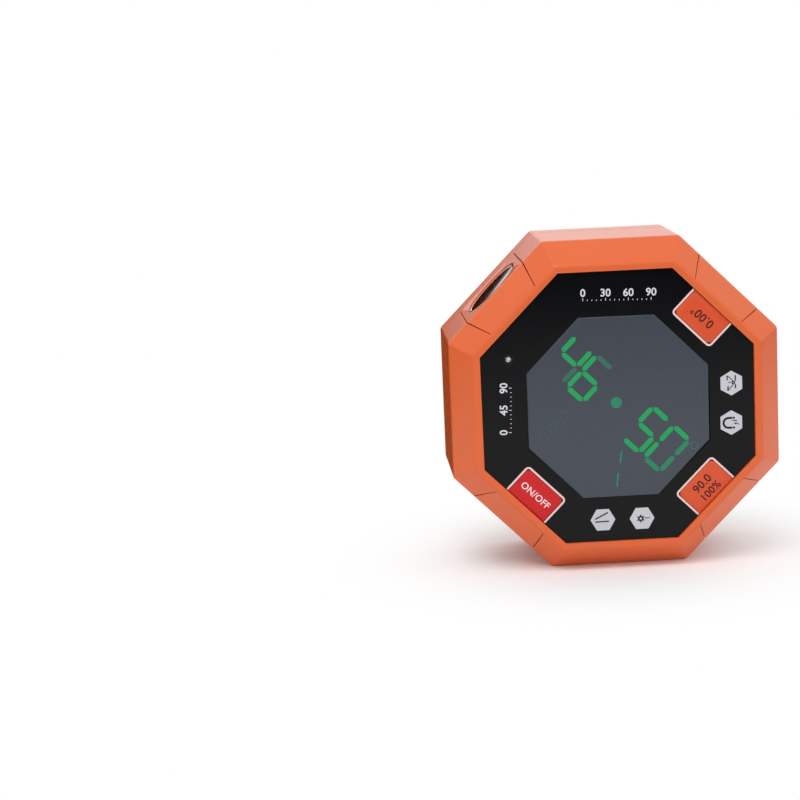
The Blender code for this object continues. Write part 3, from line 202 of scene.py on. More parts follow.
def add(tree, kind, inputs=None, **settings):
    """A new node; an input is given a value, or the socket that feeds it."""
    item = tree.nodes.new(kind)
    for key, value in settings.items():
        setattr(item, key, value)
    for key, value in (inputs or {}).items():
        if isinstance(value, bpy.types.NodeSocket):
            tree.links.new(value, item.inputs[key])
        else:
            item.inputs[key].default_value = value
    return item


def math_node(tree, operation, *values):
    """The result of a math node on two or three values."""
    return add(tree, "ShaderNodeMath", dict(enumerate(values)), operation=operation).outputs[0]


def fade(tree, value, start, end, first=0.0, last=1.0, kind="LINEAR"):
    """Goes from a first to a last value while its input goes from start to end."""
    return add(tree, "ShaderNodeMapRange", {"Value": value, "From Min": start, "From Max": end,
                                            "To Min": first, "To Max": last},
               interpolation_type=kind).outputs[0]


def new_group(name, inputs, outputs):
    """A shader node group with (name, kind, default) inputs and (name, kind) outputs."""
    group = bpy.data.node_groups.new(name, "ShaderNodeTree")
    for label, kind, default in inputs:
        group.interface.new_socket(label, in_out="INPUT", socket_type=kind).default_value = default
    for label, kind in outputs:
        group.interface.new_socket(label, in_out="OUTPUT", socket_type=kind)
    return group, group.nodes.new("NodeGroupInput").outputs, group.nodes.new("NodeGroupOutput").inputs


def spread_about(tree, value, middle, spread):
    """A middle value moved up and down by a spread as a noise goes from 0 to 1."""
    swing = math_node(tree, "SUBTRACT", value, 0.5)
    return math_node(tree, "MULTIPLY_ADD", swing, spread, middle)


def make_moulded_skin():
    """Fine grain, slow flow mottling and small gloss changes of moulded plastic."""
    group, given, made = new_group(
        "moulded_skin",
        [("Colour", "NodeSocketColor", (1, 1, 1, 1)), ("Mottle", "NodeSocketFloat", 0.08),
         ("Roughness", "NodeSocketFloat", 0.4), ("Roughness Spread", "NodeSocketFloat", 0.1),
         ("Grain Scale", "NodeSocketFloat", 3200.0), ("Flow Scale", "NodeSocketFloat", 70.0)],
        [("Colour", "NodeSocketColor"), ("Roughness", "NodeSocketFloat"), ("Height", "NodeSocketFloat")])
    spot = add(group, "ShaderNodeTexCoord").outputs["Object"]
    grain = add(group, "ShaderNodeTexNoise", {"Vector": spot, "Scale": given["Grain Scale"], "Detail": 3.0})
    flow = add(group, "ShaderNodeTexNoise", {"Vector": spot, "Scale": given["Flow Scale"], "Detail": 4.0,
                                             "Distortion": 0.8})
    level = spread_about(group, flow.outputs["Fac"], 1.0, given["Mottle"])
    tint = add(group, "ShaderNodeVectorMath", {0: given["Colour"], "Scale": level}, operation="SCALE")
    group.links.new(tint.outputs["Vector"], made["Colour"])
    gloss = spread_about(group, grain.outputs["Fac"], given["Roughness"], given["Roughness Spread"])
    group.links.new(gloss, made["Roughness"])
    group.links.new(grain.outputs["Fac"], made["Height"])
    return group


def make_polished_skin():
    """Faint smears, a few dust specks and the slight waviness of polished plastic or glass."""
    group, given, made = new_group(
        "polished_skin",
        [("Roughness", "NodeSocketFloat", 0.08), ("Smear", "NodeSocketFloat", 0.08),
         ("Wave Scale", "NodeSocketFloat", 25.0), ("Dust Scale", "NodeSocketFloat", 900.0)],
        [("Roughness", "NodeSocketFloat"), ("Height", "NodeSocketFloat"), ("Dust", "NodeSocketFloat")])
    spot = add(group, "ShaderNodeTexCoord").outputs["Object"]
    smear = add(group, "ShaderNodeTexNoise", {"Vector": spot, "Scale": 55.0, "Detail": 5.0,
                                              "Distortion": 1.6})
    gloss = math_node(group, "MULTIPLY_ADD", smear.outputs["Fac"], given["Smear"], given["Roughness"])
    group.links.new(gloss, made["Roughness"])
    wave = add(group, "ShaderNodeTexNoise", {"Vector": spot, "Scale": given["Wave Scale"], "Detail": 1.0})
    group.links.new(wave.outputs["Fac"], made["Height"])
    speck = add(group, "ShaderNodeTexVoronoi", {"Vector": spot, "Scale": given["Dust Scale"]})
    close = fade(group, speck.outputs["Distance"], 0.05, 0.09, 1.0, 0.0)
    rare = math_node(group, "GREATER_THAN",
                     add(group, "ShaderNodeSeparateColor", {0: speck.outputs["Color"]}).outputs[0], 0.97)
    group.links.new(math_node(group, "MULTIPLY", close, rare), made["Dust"])
    return group


def make_metal_skin():
    """Stretched scratches and cloudy gloss of turned or plated metal."""
    group, given, made = new_group(
        "metal_skin",
        [("Colour", "NodeSocketColor", (1, 1, 1, 1)), ("Roughness", "NodeSocketFloat", 0.2),
         ("Roughness Spread", "NodeSocketFloat", 0.12), ("Scratch Scale", "NodeSocketFloat", 1200.0),
         ("Stretch", "NodeSocketVector", (1.0, 1.0, 0.06)), ("Cloud", "NodeSocketFloat", 0.1)],
        [("Colour", "NodeSocketColor"), ("Roughness", "NodeSocketFloat"), ("Height", "NodeSocketFloat")])
    spot = add(group, "ShaderNodeTexCoord").outputs["Object"]
    along = add(group, "ShaderNodeVectorMath", {0: spot, 1: given["Stretch"]}, operation="MULTIPLY")
    scratch = add(group, "ShaderNodeTexNoise", {"Vector": along.outputs["Vector"],
                                                "Scale": given["Scratch Scale"], "Detail": 4.0})
    cloud = add(group, "ShaderNodeTexNoise", {"Vector": spot, "Scale": 150.0, "Detail": 3.0})
    gloss = spread_about(group, scratch.outputs["Fac"], given["Roughness"], given["Roughness Spread"])
    group.links.new(gloss, made["Roughness"])
    level = spread_about(group, cloud.outputs["Fac"], 1.0, given["Cloud"])
    tint = add(group, "ShaderNodeVectorMath", {0: given["Colour"], "Scale": level}, operation="SCALE")
    group.links.new(tint.outputs["Vector"], made["Colour"])
    group.links.new(scratch.outputs["Fac"], made["Height"])
    return group


def shared(name):
    """A shared node group, made the first time that it is asked for."""
    return bpy.data.node_groups.get(name) or GROUP_MAKERS[name]()


def skin(tree, name, inputs):
    """Places a shared group in a material."""
    return add(tree, "ShaderNodeGroup", inputs, node_tree=shared(name)).outputs


def made_before(name):
    """The finish that an earlier piece was given under this name, if any."""
    return bpy.data.materials.get(FINISH + name)


def new_material(name, **constants):
    """A material with a Principled shader whose plain sockets are set directly."""
    material = bpy.data.materials.new(FINISH + name)
    material.use_nodes = True
    tree = material.node_tree
    shader = tree.nodes["Principled BSDF"]
    for key, value in constants.items():
        shader.inputs[key.replace("_", " ")].default_value = value
    return material, tree, shader


def dent(tree, shader, height, depth, strength=1.0):
    """Feeds a height to the shader's normal."""
    bump = add(tree, "ShaderNodeBump", {"Height": height, "Distance": depth, "Strength": strength})
    tree.links.new(bump.outputs["Normal"], shader.inputs["Normal"])


def feed_all(tree, shader, out, depth):
    """Feeds a shared group's colour, roughness and height to the shader."""
    tree.links.new(out["Colour"], shader.inputs["Base Color"])
    tree.links.new(out["Roughness"], shader.inputs["Roughness"])
    dent(tree, shader, out["Height"], depth)


def plastic(name, colour, roughness, depth=0.004 * MM, mottle=0.08, grain=3200.0, specular=0.5):
    """Moulded plastic with its grain and flow mottling."""
    if made_before(name):
        return made_before(name)
    material, tree, shader = new_material(name, Specular_IOR_Level=specular)
    out = skin(tree, "moulded_skin", {"Colour": (*colour, 1), "Mottle": mottle, "Roughness": roughness,
                                      "Roughness Spread": 0.04, "Grain Scale": grain})
    feed_all(tree, shader, out, depth)
    return material


def moulded(name, colour, looks):
    """The plastic of the housing and of its caps."""
    return plastic(name, colour, looks.roughness, looks.grain_depth, specular=0.42)


def glossy(name, colour, roughness, specular=0.5, transmission=0.0, smear=0.06, dust=(0.2, 0.2, 0.2)):
    """Polished plastic or glass, with smears and a few specks of dust."""
    if made_before(name):
        return made_before(name)
    material, tree, shader = new_material(name, Specular_IOR_Level=specular,
                                          Transmission_Weight=transmission)
    out = skin(tree, "polished_skin", {"Roughness": roughness, "Smear": smear})
    mix = add(tree, "ShaderNodeMix", {"Factor": out["Dust"], 6: (*colour, 1), 7: (*dust, 1)},
              data_type="RGBA")
    tree.links.new(mix.outputs[2], shader.inputs["Base Color"])
    tree.links.new(out["Roughness"], shader.inputs["Roughness"])
    dent(tree, shader, out["Height"], 0.02 * MM, 0.5)
    return material


def metal(name, colour, roughness, stretch=(1.0, 1.0, 0.06), spread=0.12, depth=0.001 * MM):
    """Turned, plated or drawn metal."""
    if made_before(name):
        return made_before(name)
    material, tree, shader = new_material(name, Metallic=1.0)
    out = skin(tree, "metal_skin", {"Colour": (*colour, 1), "Roughness": roughness,
                                    "Roughness Spread": spread, "Stretch": stretch})
    feed_all(tree, shader, out, depth)
    return material


def black_plastic():
    return plastic("black_plastic", srgb(28, 28, 30), 0.45)


def white_plastic():
    return plastic("white_plastic", srgb(222, 222, 216), 0.4)


def steel():
    return metal("steel", bpy.context.scene.gauge_metal.steel, 0.28, (3.0, 3.0, 0.3), 0.06, 0.0002 * MM)


def ink(name, colour, roughness=0.45, specular=0.25):
    """Screen-printed ink with the slight unevenness of a thin coat."""
    return plastic(name, colour, roughness, depth=0.001 * MM, mottle=0.1, grain=5200.0, specular=specular)


# Meshes

def flat_distance(x, y):
    """Distance from the dial's axis, measured square to the nearest side of the octagon."""
    angle = math.atan2(y, x)
    return math.hypot(x, y) * math.cos(angle - round(angle / SIDE_ANGLE) * SIDE_ANGLE)


def side_frame(angle):
    """Frame of one side: x outwards, y along the wall, z out of the panel."""
    return DIAL @ Matrix.Rotation(math.radians(angle), 4, "Z")


def side_points(node, angle):
    """A node's points in the frame of a side."""
    inverse = side_frame(angle).inverted()
    return [inverse @ vertex.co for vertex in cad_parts[node].data.vertices]


def extent(points):
    """The lowest and the highest corner of some points."""
    return Vector(map(min, zip(*points))), Vector(map(max, zip(*points)))


def shape_of(mesh):
    """A bmesh of a mesh."""
    shape = bmesh.new()
    shape.from_mesh(mesh)
    return shape


def linked(name, data):
    """A new object in the scene."""
    item = bpy.data.objects.new(name, data)
    bpy.context.scene.collection.objects.link(item)
    return item


def coat(mesh, material):
    """Gives a mesh one material."""
    mesh.materials.clear()
    mesh.materials.append(material)


def solid_copy(node, place=DIAL):
    """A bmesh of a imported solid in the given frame, welded, with its flat faces joined."""
    shape = shape_of(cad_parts[node].data)
    bmesh.ops.remove_doubles(shape, verts=shape.verts, dist=WELD)
    bmesh.ops.dissolve_limit(shape, angle_limit=FLAT_TURN, verts=shape.verts, edges=shape.edges)
    shape.transform(place.inverted())
    return shape


def to_mesh(shape, name, place=DIAL):
    """Turns a bmesh into a mesh put in its place, smooth but for its sharp edges."""
    shape.transform(place)
    mesh = bpy.data.meshes.new(name)
    shape.to_mesh(mesh)
    shape.free()
    mesh.shade_smooth()
    mesh.set_sharp_from_angle(angle=SHARP_TURN)
    return mesh


def near(value, target, reach=2e-5):
    return abs(value - target) < reach


def round_edges(shape, chosen, width, segments=3):
    """Rounds the edges whose two ends pass a test."""
    edges = [edge for edge in shape.edges if chosen(edge)]
    bmesh.ops.bevel(shape, geom=edges, offset=width, offset_type="OFFSET", segments=segments,
                    profile=0.5, affect="EDGES", clamp_overlap=True)


def turned(profile, steps=96):
    """A bmesh turned about Z from (radius, height) points that run from axis to axis."""
    shape = bmesh.new()
    verts = [shape.verts.new((radius, 0, height)) for radius, height in profile]
    edges = [shape.edges.new(pair) for pair in zip(verts, verts[1:])]
    bmesh.ops.spin(shape, geom=verts + edges, cent=(0, 0, 0), axis=(0, 0, 1), angle=2 * math.pi,
                   steps=steps)
    bmesh.ops.remove_doubles(shape, verts=shape.verts, dist=WELD)
    bmesh.ops.recalc_face_normals(shape, faces=shape.faces)
    return shape


def add_prism(shape, outline, low, high):
    """A closed prism over an outline of (x, y) points."""
    area = sum(a[0] * b[1] - b[0] * a[1] for a, b in zip(outline, outline[1:] + outline[:1]))
    points = outline if area > 0 else outline[::-1]
    bottom = [shape.verts.new((x, y, low)) for x, y in points]
    top = [shape.verts.new((x, y, high)) for x, y in points]
    shape.faces.new(bottom[::-1])
    shape.faces.new(top)
    for index, start in enumerate(bottom):
        following = (index + 1) % len(points)
        shape.faces.new((start, bottom[following], top[following], top[index]))


def prisms(outlines, low=PRINT_LOW, high=PRINT_HIGH):
    shape = bmesh.new()
    for outline in outlines:
        add_prism(shape, outline, low, high)
    return shape


def lofted(rings):
    """A closed bmesh over rings of as many points each, anticlockwise from the lowest up."""
    shape = bmesh.new()
    loops = [[shape.verts.new(point) for point in ring] for ring in rings]
    shape.faces.new(loops[0][::-1])
    shape.faces.new(loops[-1])
    for lower, upper in zip(loops, loops[1:]):
        for index, start in enumerate(lower):
            following = (index + 1) % len(lower)
            shape.faces.new((start, lower[following], upper[following], upper[index]))
    return shape


def bar(start, end, width, point=0.0):
    """Outline of a straight bar, with an optional point at both ends."""
    start, end = Vector(start), Vector(end)
    along = (end - start).normalized()
    across = Vector((-along.y, along.x)) * width / 2
    tip = along * point
    corners = [start + across + tip, start - across + tip, end - across - tip, end + across - tip]
    if point:
        corners = [start, corners[1], corners[2], end, corners[3], corners[0]]
    return [tuple(corner) for corner in corners]


def arc(centre, radius, start, end, steps=24):
    """Points of an arc between two angles in degrees."""
    turns = [math.radians(start + (end - start) * step / steps) for step in range(steps + 1)]
    return [(centre[0] + radius * math.cos(turn), centre[1] + radius * math.sin(turn)) for turn in turns]


def band(centre, radius, width, start, end, steps=24):
    """Outline of a band along an arc."""
    outer = arc(centre, radius + width / 2, start, end, steps)
    return outer + arc(centre, radius - width / 2, end, start, steps)


def disc(centre, radius, steps=40):
    return arc(centre, radius, 0, 360, steps)[:-1]


def rotated(outline, degrees, shift=(0, 0)):
    cosine, sine = math.cos(math.radians(degrees)), math.sin(math.radians(degrees))
    return [(x * cosine - y * sine + shift[0], x * sine + y * cosine + shift[1]) for x, y in outline]


def ring_halves(centre, radius, width):
    """Two half rings that meet, as closed outlines."""
    return [band(centre, radius, width, 0, 180), band(centre, radius, width, 180, 360)]


def text_shape(words, size, low, high, weight=0.0, spacing=1.0):
    """A bmesh of plain letters, centred on the origin, between two heights."""
    curve = bpy.data.curves.new("words", "FONT")
    curve.body = words
    curve.size = size / CAPITAL_SHARE
    curve.align_x = "CENTER"
    curve.align_y = "CENTER"
    curve.offset = weight
    curve.space_character = spacing
    curve.resolution_u = 4
    curve.extrude = (high - low) / 2
    item = linked("words", curve)
    graph = bpy.context.evaluated_depsgraph_get()
    mesh = bpy.data.meshes.new_from_object(item.evaluated_get(graph))
    bpy.data.objects.remove(item, do_unlink=True)
    shape = shape_of(mesh)
    bpy.data.meshes.remove(mesh)
    bmesh.ops.remove_doubles(shape, verts=shape.verts, dist=WELD)
    bmesh.ops.recalc_face_normals(shape, faces=shape.faces)
    start, end = extent([vertex.co for vertex in shape.verts])
    middle = Vector(((start.x + end.x) / 2, (start.y + end.y) / 2, -(low + high) / 2))
    bmesh.ops.translate(shape, verts=shape.verts, vec=-middle)
    return shape


def put(shape, spot=(0, 0), degrees=0.0):
    """Turns and moves a bmesh on the dial."""
    shape.transform(Matrix.Translation((*spot, 0)) @ Matrix.Rotation(math.radians(degrees), 4, "Z"))
    return shape


def joined(shapes):
    """One bmesh of several."""
    whole = bmesh.new()
    for shape in shapes:
        part = bpy.data.meshes.new("part")
        shape.to_mesh(part)
        shape.free()
        whole.from_mesh(part)
        bpy.data.meshes.remove(part)
    return whole


def finished(name, mesh, material, body, slot, *nodes, flats=False):
    """A piece at the origin that rides on a body, in place of the nodes that it stands for."""
    piece = linked(name, mesh)
    coat(mesh, material)
    if flats:
        piece.modifiers.new("even_flats", "WEIGHTED_NORMAL").keep_sharp = True
    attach(piece, body)
    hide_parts(*nodes)
    return piece


def paint(node, material):
    """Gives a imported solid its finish."""
    coat(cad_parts[node].data, material)


# Geometry node trees

def new_tree(name, inputs):
    """A geometry node tree with (name, kind, default) inputs."""
    tree = bpy.data.node_groups.new(name, "GeometryNodeTree")
    tree.interface.new_socket("Geometry", in_out="INPUT", socket_type="NodeSocketGeometry")
    for label, kind, default in inputs:
        socket = tree.interface.new_socket(label, in_out="INPUT", socket_type=kind)
        if default is not None:
            socket.default_value = default
    tree.interface.new_socket("Geometry", in_out="OUTPUT", socket_type="NodeSocketGeometry")
    return tree, tree.nodes.new("NodeGroupInput").outputs, tree.nodes.new("NodeGroupOutput").inputs


def end_tree(tree, geometry, material, made):
    """Realizes the instances, sets the material and ends the tree."""
    real = add(tree, "GeometryNodeRealizeInstances", {"Geometry": geometry})
    coated = add(tree, "GeometryNodeSetMaterial", {"Geometry": real.outputs[0], "Material": material})
    tree.links.new(coated.outputs[0], made["Geometry"])


def grown(tree, points, values):
    """The plain mesh that a tree grows on points, with its named inputs set."""
    mesh = bpy.data.meshes.new("points")
    mesh.from_pydata(points, [], [])
    item = linked("grown", mesh)
    modifier = item.modifiers.new("grow", "NODES")
    modifier.node_group = tree
    for socket in tree.interface.items_tree:
        if socket.item_type == "SOCKET" and socket.in_out == "INPUT" and socket.name in values:
            modifier[socket.identifier] = values[socket.name]
    graph = bpy.context.evaluated_depsgraph_get()
    result = bpy.data.meshes.new_from_object(item.evaluated_get(graph))
    item.modifiers.remove(modifier)
    bpy.data.objects.remove(item, do_unlink=True)
    return result


def make_tick_row():
    """A row of ticks that stand on a line, each so-manieth one longer."""
    tree, given, made = new_tree("tick_row", [
        ("Count", "NodeSocketInt", 11), ("Pitch", "NodeSocketFloat", 1 * MM),
        ("Tick Width", "NodeSocketFloat", 0.18 * MM), ("Short", "NodeSocketFloat", 0.6 * MM),
        ("Long", "NodeSocketFloat", 1.1 * MM), ("Every", "NodeSocketInt", 5),
        ("Thickness", "NodeSocketFloat", 0.03 * MM), ("Material", "NodeSocketMaterial", None)])
    step = add(tree, "ShaderNodeCombineXYZ", {"X": given["Pitch"]})
    row = add(tree, "GeometryNodeMeshLine", {"Count": given["Count"], "Offset": step.outputs[0]})
    index = add(tree, "GeometryNodeInputIndex")
    beat = math_node(tree, "MODULO", index.outputs[0], given["Every"])
    short = math_node(tree, "GREATER_THAN", beat, 0.5)
    height = fade(tree, short, 0.0, 1.0, given["Long"], given["Short"])
    size = add(tree, "ShaderNodeCombineXYZ", {"X": given["Tick Width"], "Y": height,
                                              "Z": given["Thickness"]})
    cube = add(tree, "GeometryNodeMeshCube")
    raised = add(tree, "GeometryNodeTransform", {"Geometry": cube.outputs[0],
                                                 "Translation": (0, 0.5, 0)})
    ticks = add(tree, "GeometryNodeInstanceOnPoints", {"Points": row.outputs[0],
                                                       "Instance": raised.outputs[0],
                                                       "Scale": size.outputs[0]})
    end_tree(tree, ticks.outputs[0], given["Material"], made)
    return tree


def make_badge_tree():
    """Flat prisms of a few sides on points, such as six-sided badges."""
    tree, given, made = new_tree("badge", [
        ("Sides", "NodeSocketInt", 6), ("Radius", "NodeSocketFloat", 3 * MM),
        ("Thickness", "NodeSocketFloat", 0.03 * MM), ("Turn", "NodeSocketFloat", 0.0),
        ("Material", "NodeSocketMaterial", None)])
    plate = add(tree, "GeometryNodeMeshCylinder", {"Vertices": given["Sides"], "Radius": given["Radius"],
                                                   "Depth": given["Thickness"]})
    turn = add(tree, "ShaderNodeCombineXYZ", {"Z": given["Turn"]})
    plates = add(tree, "GeometryNodeInstanceOnPoints", {"Points": given["Geometry"],
                                                        "Instance": plate.outputs["Mesh"],
                                                        "Rotation": turn.outputs[0]})
    end_tree(tree, plates.outputs[0], given["Material"], made)
    return tree


# Parts of a screw, as shares of its head's height, of its head's radius and of its shank's radius
SCREW_RIM_HEIGHT = 0.62
SCREW_RIM_PLACE = 0.69
SCREW_DOME_HEIGHT = 0.4
SCREW_SHANK_PLACE = 0.9
SCREW_SLOT_DEPTHS = (1.1, 1.06)
SCREW_DOME_TOP = 0.985
SCREW_DOME_BOTTOM = 0.72
SCREW_SHANK_TOP = 0.8


def make_screw_tree():
    """Screws with a domed head and a cross recess, each turned its own way about its axis.

    A screw points towards -Y, with the face of its head on its point. It is cut at a thousand
    times its size, where the booleans are exact enough, and shrunk as it is placed."""
    tree, given, made = new_tree("cross_screw", [
        ("Head Diameter", "NodeSocketFloat", 4.8 * MM), ("Head Height", "NodeSocketFloat", 1.6 * MM),
        ("Shank Diameter", "NodeSocketFloat", 2.6 * MM), ("Length", "NodeSocketFloat", 16 * MM),
        ("Slot Width", "NodeSocketFloat", 0.75 * MM), ("Slot Share", "NodeSocketFloat", 0.62),
        ("Seed", "NodeSocketInt", 3), ("Material", "NodeSocketMaterial", None)])

    def scaled(value, factor):
        return math_node(tree, "MULTIPLY", value, factor)

    def enlarged(name):
        return scaled(given[name], 1 / MM)

    def lifted(geometry, height):
        place = add(tree, "ShaderNodeCombineXYZ", {"Z": height})
        return add(tree, "GeometryNodeTransform", {"Geometry": geometry,
                                                   "Translation": place.outputs[0]}).outputs[0]

    head_height = enlarged("Head Height")
    slot_width = enlarged("Slot Width")
    radius = scaled(enlarged("Head Diameter"), 0.5)
    rim = add(tree, "GeometryNodeMeshCylinder", {"Vertices": 40, "Radius": radius,
                                                 "Depth": scaled(head_height, SCREW_RIM_HEIGHT)})
    dome = add(tree, "GeometryNodeMeshCone", {"Vertices": 40,
                                              "Radius Top": scaled(radius, SCREW_DOME_TOP),
                                              "Radius Bottom": scaled(radius, SCREW_DOME_BOTTOM),
                                              "Depth": scaled(head_height, SCREW_DOME_HEIGHT)})
    shank_radius = scaled(enlarged("Shank Diameter"), 0.5)
    shank = add(tree, "GeometryNodeMeshCone", {"Vertices": 24, "Radius Bottom": shank_radius,
                                               "Radius Top": scaled(shank_radius, SCREW_SHANK_TOP),
                                               "Depth": enlarged("Length")})
    body = add(tree, "GeometryNodeMeshBoolean", operation="UNION")
    rim_place = lifted(rim.outputs["Mesh"], scaled(head_height, SCREW_RIM_PLACE))
    shank_place = lifted(shank.outputs["Mesh"], scaled(head_height, SCREW_SHANK_PLACE))
    for part in (rim_place, dome.outputs["Mesh"], shank_place):
        tree.links.new(part, body.inputs["Mesh 2"])
    slot_length = scaled(enlarged("Head Diameter"), given["Slot Share"])
    slots = []
    sides = ((slot_length, slot_width), (slot_width, slot_length))
    for (along, across), depth in zip(sides, SCREW_SLOT_DEPTHS):
        size = add(tree, "ShaderNodeCombineXYZ", {"X": along, "Y": across,
                                                  "Z": scaled(head_height, depth)})
        slots.append(add(tree, "GeometryNodeMeshCube", {"Size": size.outputs[0]}).outputs[0])
    cut = add(tree, "GeometryNodeMeshBoolean", {"Mesh 1": body.outputs["Mesh"]}, operation="DIFFERENCE")
    for slot in slots:
        tree.links.new(slot, cut.inputs["Mesh 2"])
    twist = add(tree, "FunctionNodeRandomValue", {"Max": math.pi, "Seed": given["Seed"]}, data_type="FLOAT")
    turn = add(tree, "ShaderNodeCombineXYZ", {"X": math.pi / 2, "Y": twist.outputs[1]})
    screws = add(tree, "GeometryNodeInstanceOnPoints", {"Points": given["Geometry"],
                                                        "Instance": cut.outputs["Mesh"],
                                                        "Rotation": turn.outputs[0],
                                                        "Scale": (MM, MM, MM)})
    end_tree(tree, screws.outputs[0], given["Material"], made)
    return tree


GROUP_MAKERS = {"moulded_skin": make_moulded_skin, "polished_skin": make_polished_skin,
                "metal_skin": make_metal_skin, "tick_row": make_tick_row, "badge": make_badge_tree,
                "cross_screw": make_screw_tree}


# Operators

class DressHousing(bpy.types.Operator):
    """Dresses the front and the rear housing and the battery cover in moulded plastic"""
    bl_idname = "gauge.dress_housing"
    bl_label = "Housing"

    COVER_ROUND = 0.15 * MM
    SHALLOWEST_WALL = 0.8 * MM

    def execute(self, context):
        looks = context.scene.gauge_housing
        material = moulded("orange_housing", looks.colour, looks)
        shape = solid_copy("front_housing")
        well = PANEL_FLAT + CLEARANCE

        def on_lip(edge):
            return all(near(vertex.co.z, RIM_RISE)
                       and near(flat_distance(vertex.co.x, vertex.co.y), well, 0.02 * MM)
                       for vertex in edge.verts)

        round_edges(shape, on_lip, looks.lip_round)
        finished("front_shell", to_mesh(shape, "front_shell"), material, "root", "orange_housing",
                 "front_housing", flats=True)
        rear = to_mesh(solid_copy("rear_housing"), "rear_shell")
        finished("rear_shell", rear, material, "root", "orange_housing", "rear_housing", flats=True)
        cover = solid_copy("battery_cover")
        self.soften_cover(cover)
        finished("cover_plate", to_mesh(cover, "cover_plate"), material, "battery_cover",
                 "orange_housing", "battery_cover", flats=True)
        return {"FINISHED"}

    def soften_cover(self, shape):
        """Rounds the outer edge of the battery cover, but not the rims of its shallow grip grooves."""
        back = min(vertex.co.z for vertex in shape.verts)

        def on_back(edge):
            level = all(near(vertex.co.z, back) for vertex in edge.verts)
            if not level or len(edge.link_faces) != 2 or edge.calc_face_angle() < 1:
                return False
            wall = max(vertex.co.z for face in edge.link_faces for vertex in face.verts)
            return wall - back > self.SHALLOWEST_WALL

        round_edges(shape, on_back, self.COVER_ROUND, 2)
        for vertex in shape.verts:
            vertex.co.z = max(vertex.co.z, back)


class DressSideCaps(bpy.types.Operator):
    """Fits the four side caps closely into the slanting walls"""
    bl_idname = "gauge.dress_side_caps"
    bl_label = "Side Caps"

    def execute(self, context):
        looks = context.scene.gauge_housing
        material = moulded("orange_cap", looks.cap_colour, looks)
        half_side = SIDE_ANGLE / 2
        for name, angle in {**MAGNETS, **LASERS}.items():
            node = "side_cap_" + name
            place = side_frame(angle)
            shape = solid_copy(node, place)
            crest_side = min(vertex.co.x for vertex in shape.verts)
            shift = CLEARANCE - looks.seam
            for sign in (1, -1):
                mitre = Vector((-math.sin(half_side), sign * math.cos(half_side), 0))
                ends = {vertex for face in shape.faces if face.normal.dot(mitre) > 0.999
                        for vertex in face.verts}
                for vertex in ends:
                    vertex.co.y += sign * shift
            for vertex in shape.verts:
                if near(vertex.co.x, crest_side):
                    vertex.co.x -= shift
                    vertex.co.z += shift
            finished("cap_" + name, to_mesh(shape, "cap_" + name, place), material, "root",
                     "orange_cap", node, flats=True)
        return {"FINISHED"}


class DressDiscs(bpy.types.Operator):
    """Makes the plated magnets and the red laser windows, and coats what lies behind them"""
    bl_idname = "gauge.dress_discs"
    bl_label = "Magnets and Lasers"

    def execute(self, context):
        looks = context.scene.gauge_metal
        nickel = metal("nickel_plate", looks.nickel, 0.05, (1.0, 1.0, 1.0), 0.03, 0.0002 * MM)
        red = glossy("red_window", srgb(120, 10, 14), 0.05, transmission=0.35)
        for name, angle in MAGNETS.items():
            self.make_disc("magnet_" + name, angle, nickel, "nickel", 0.16 * MM)
        for name, angle in LASERS.items():
            self.make_disc("laser_window_" + name, angle, red, "red_window", 0.3 * MM)
            paint("laser_barrel_" + name, metal("brass_barrel", looks.brass, 0.25))
            paint("laser_lens_" + name, glossy("lens_glass", srgb(220, 230, 235), 0.03, transmission=0.9))
        return {"FINISHED"}

    def make_disc(self, node, angle, material, slot, chamfer):
        """A disc with a fine chamfer and a shallow ring groove near its edge."""
        low, high = extent(side_points(node, angle))
        radius = (high.y - low.y) / 2
        thickness = high.x - low.x
        groove = 0.05 * MM
        half_groove = 0.1 * MM
        ring = radius - 0.7 * MM
        profile = [(0, 0), (radius - chamfer, 0), (radius, chamfer), (radius, thickness - chamfer),
                   (radius - chamfer, thickness), (ring + half_groove, thickness),
                   (ring, thickness - groove), (ring - half_groove, thickness), (0, thickness)]
        shape = turned(profile)
        middle = (low + high) / 2
        lay = Matrix.Translation((low.x, 0, middle.z)) @ Matrix.Rotation(math.pi / 2, 4, "Y")
        shape.transform(lay)
        finished(node + "_disc", to_mesh(shape, node, side_frame(angle)), material, "root", slot,
                 node, flats=True)


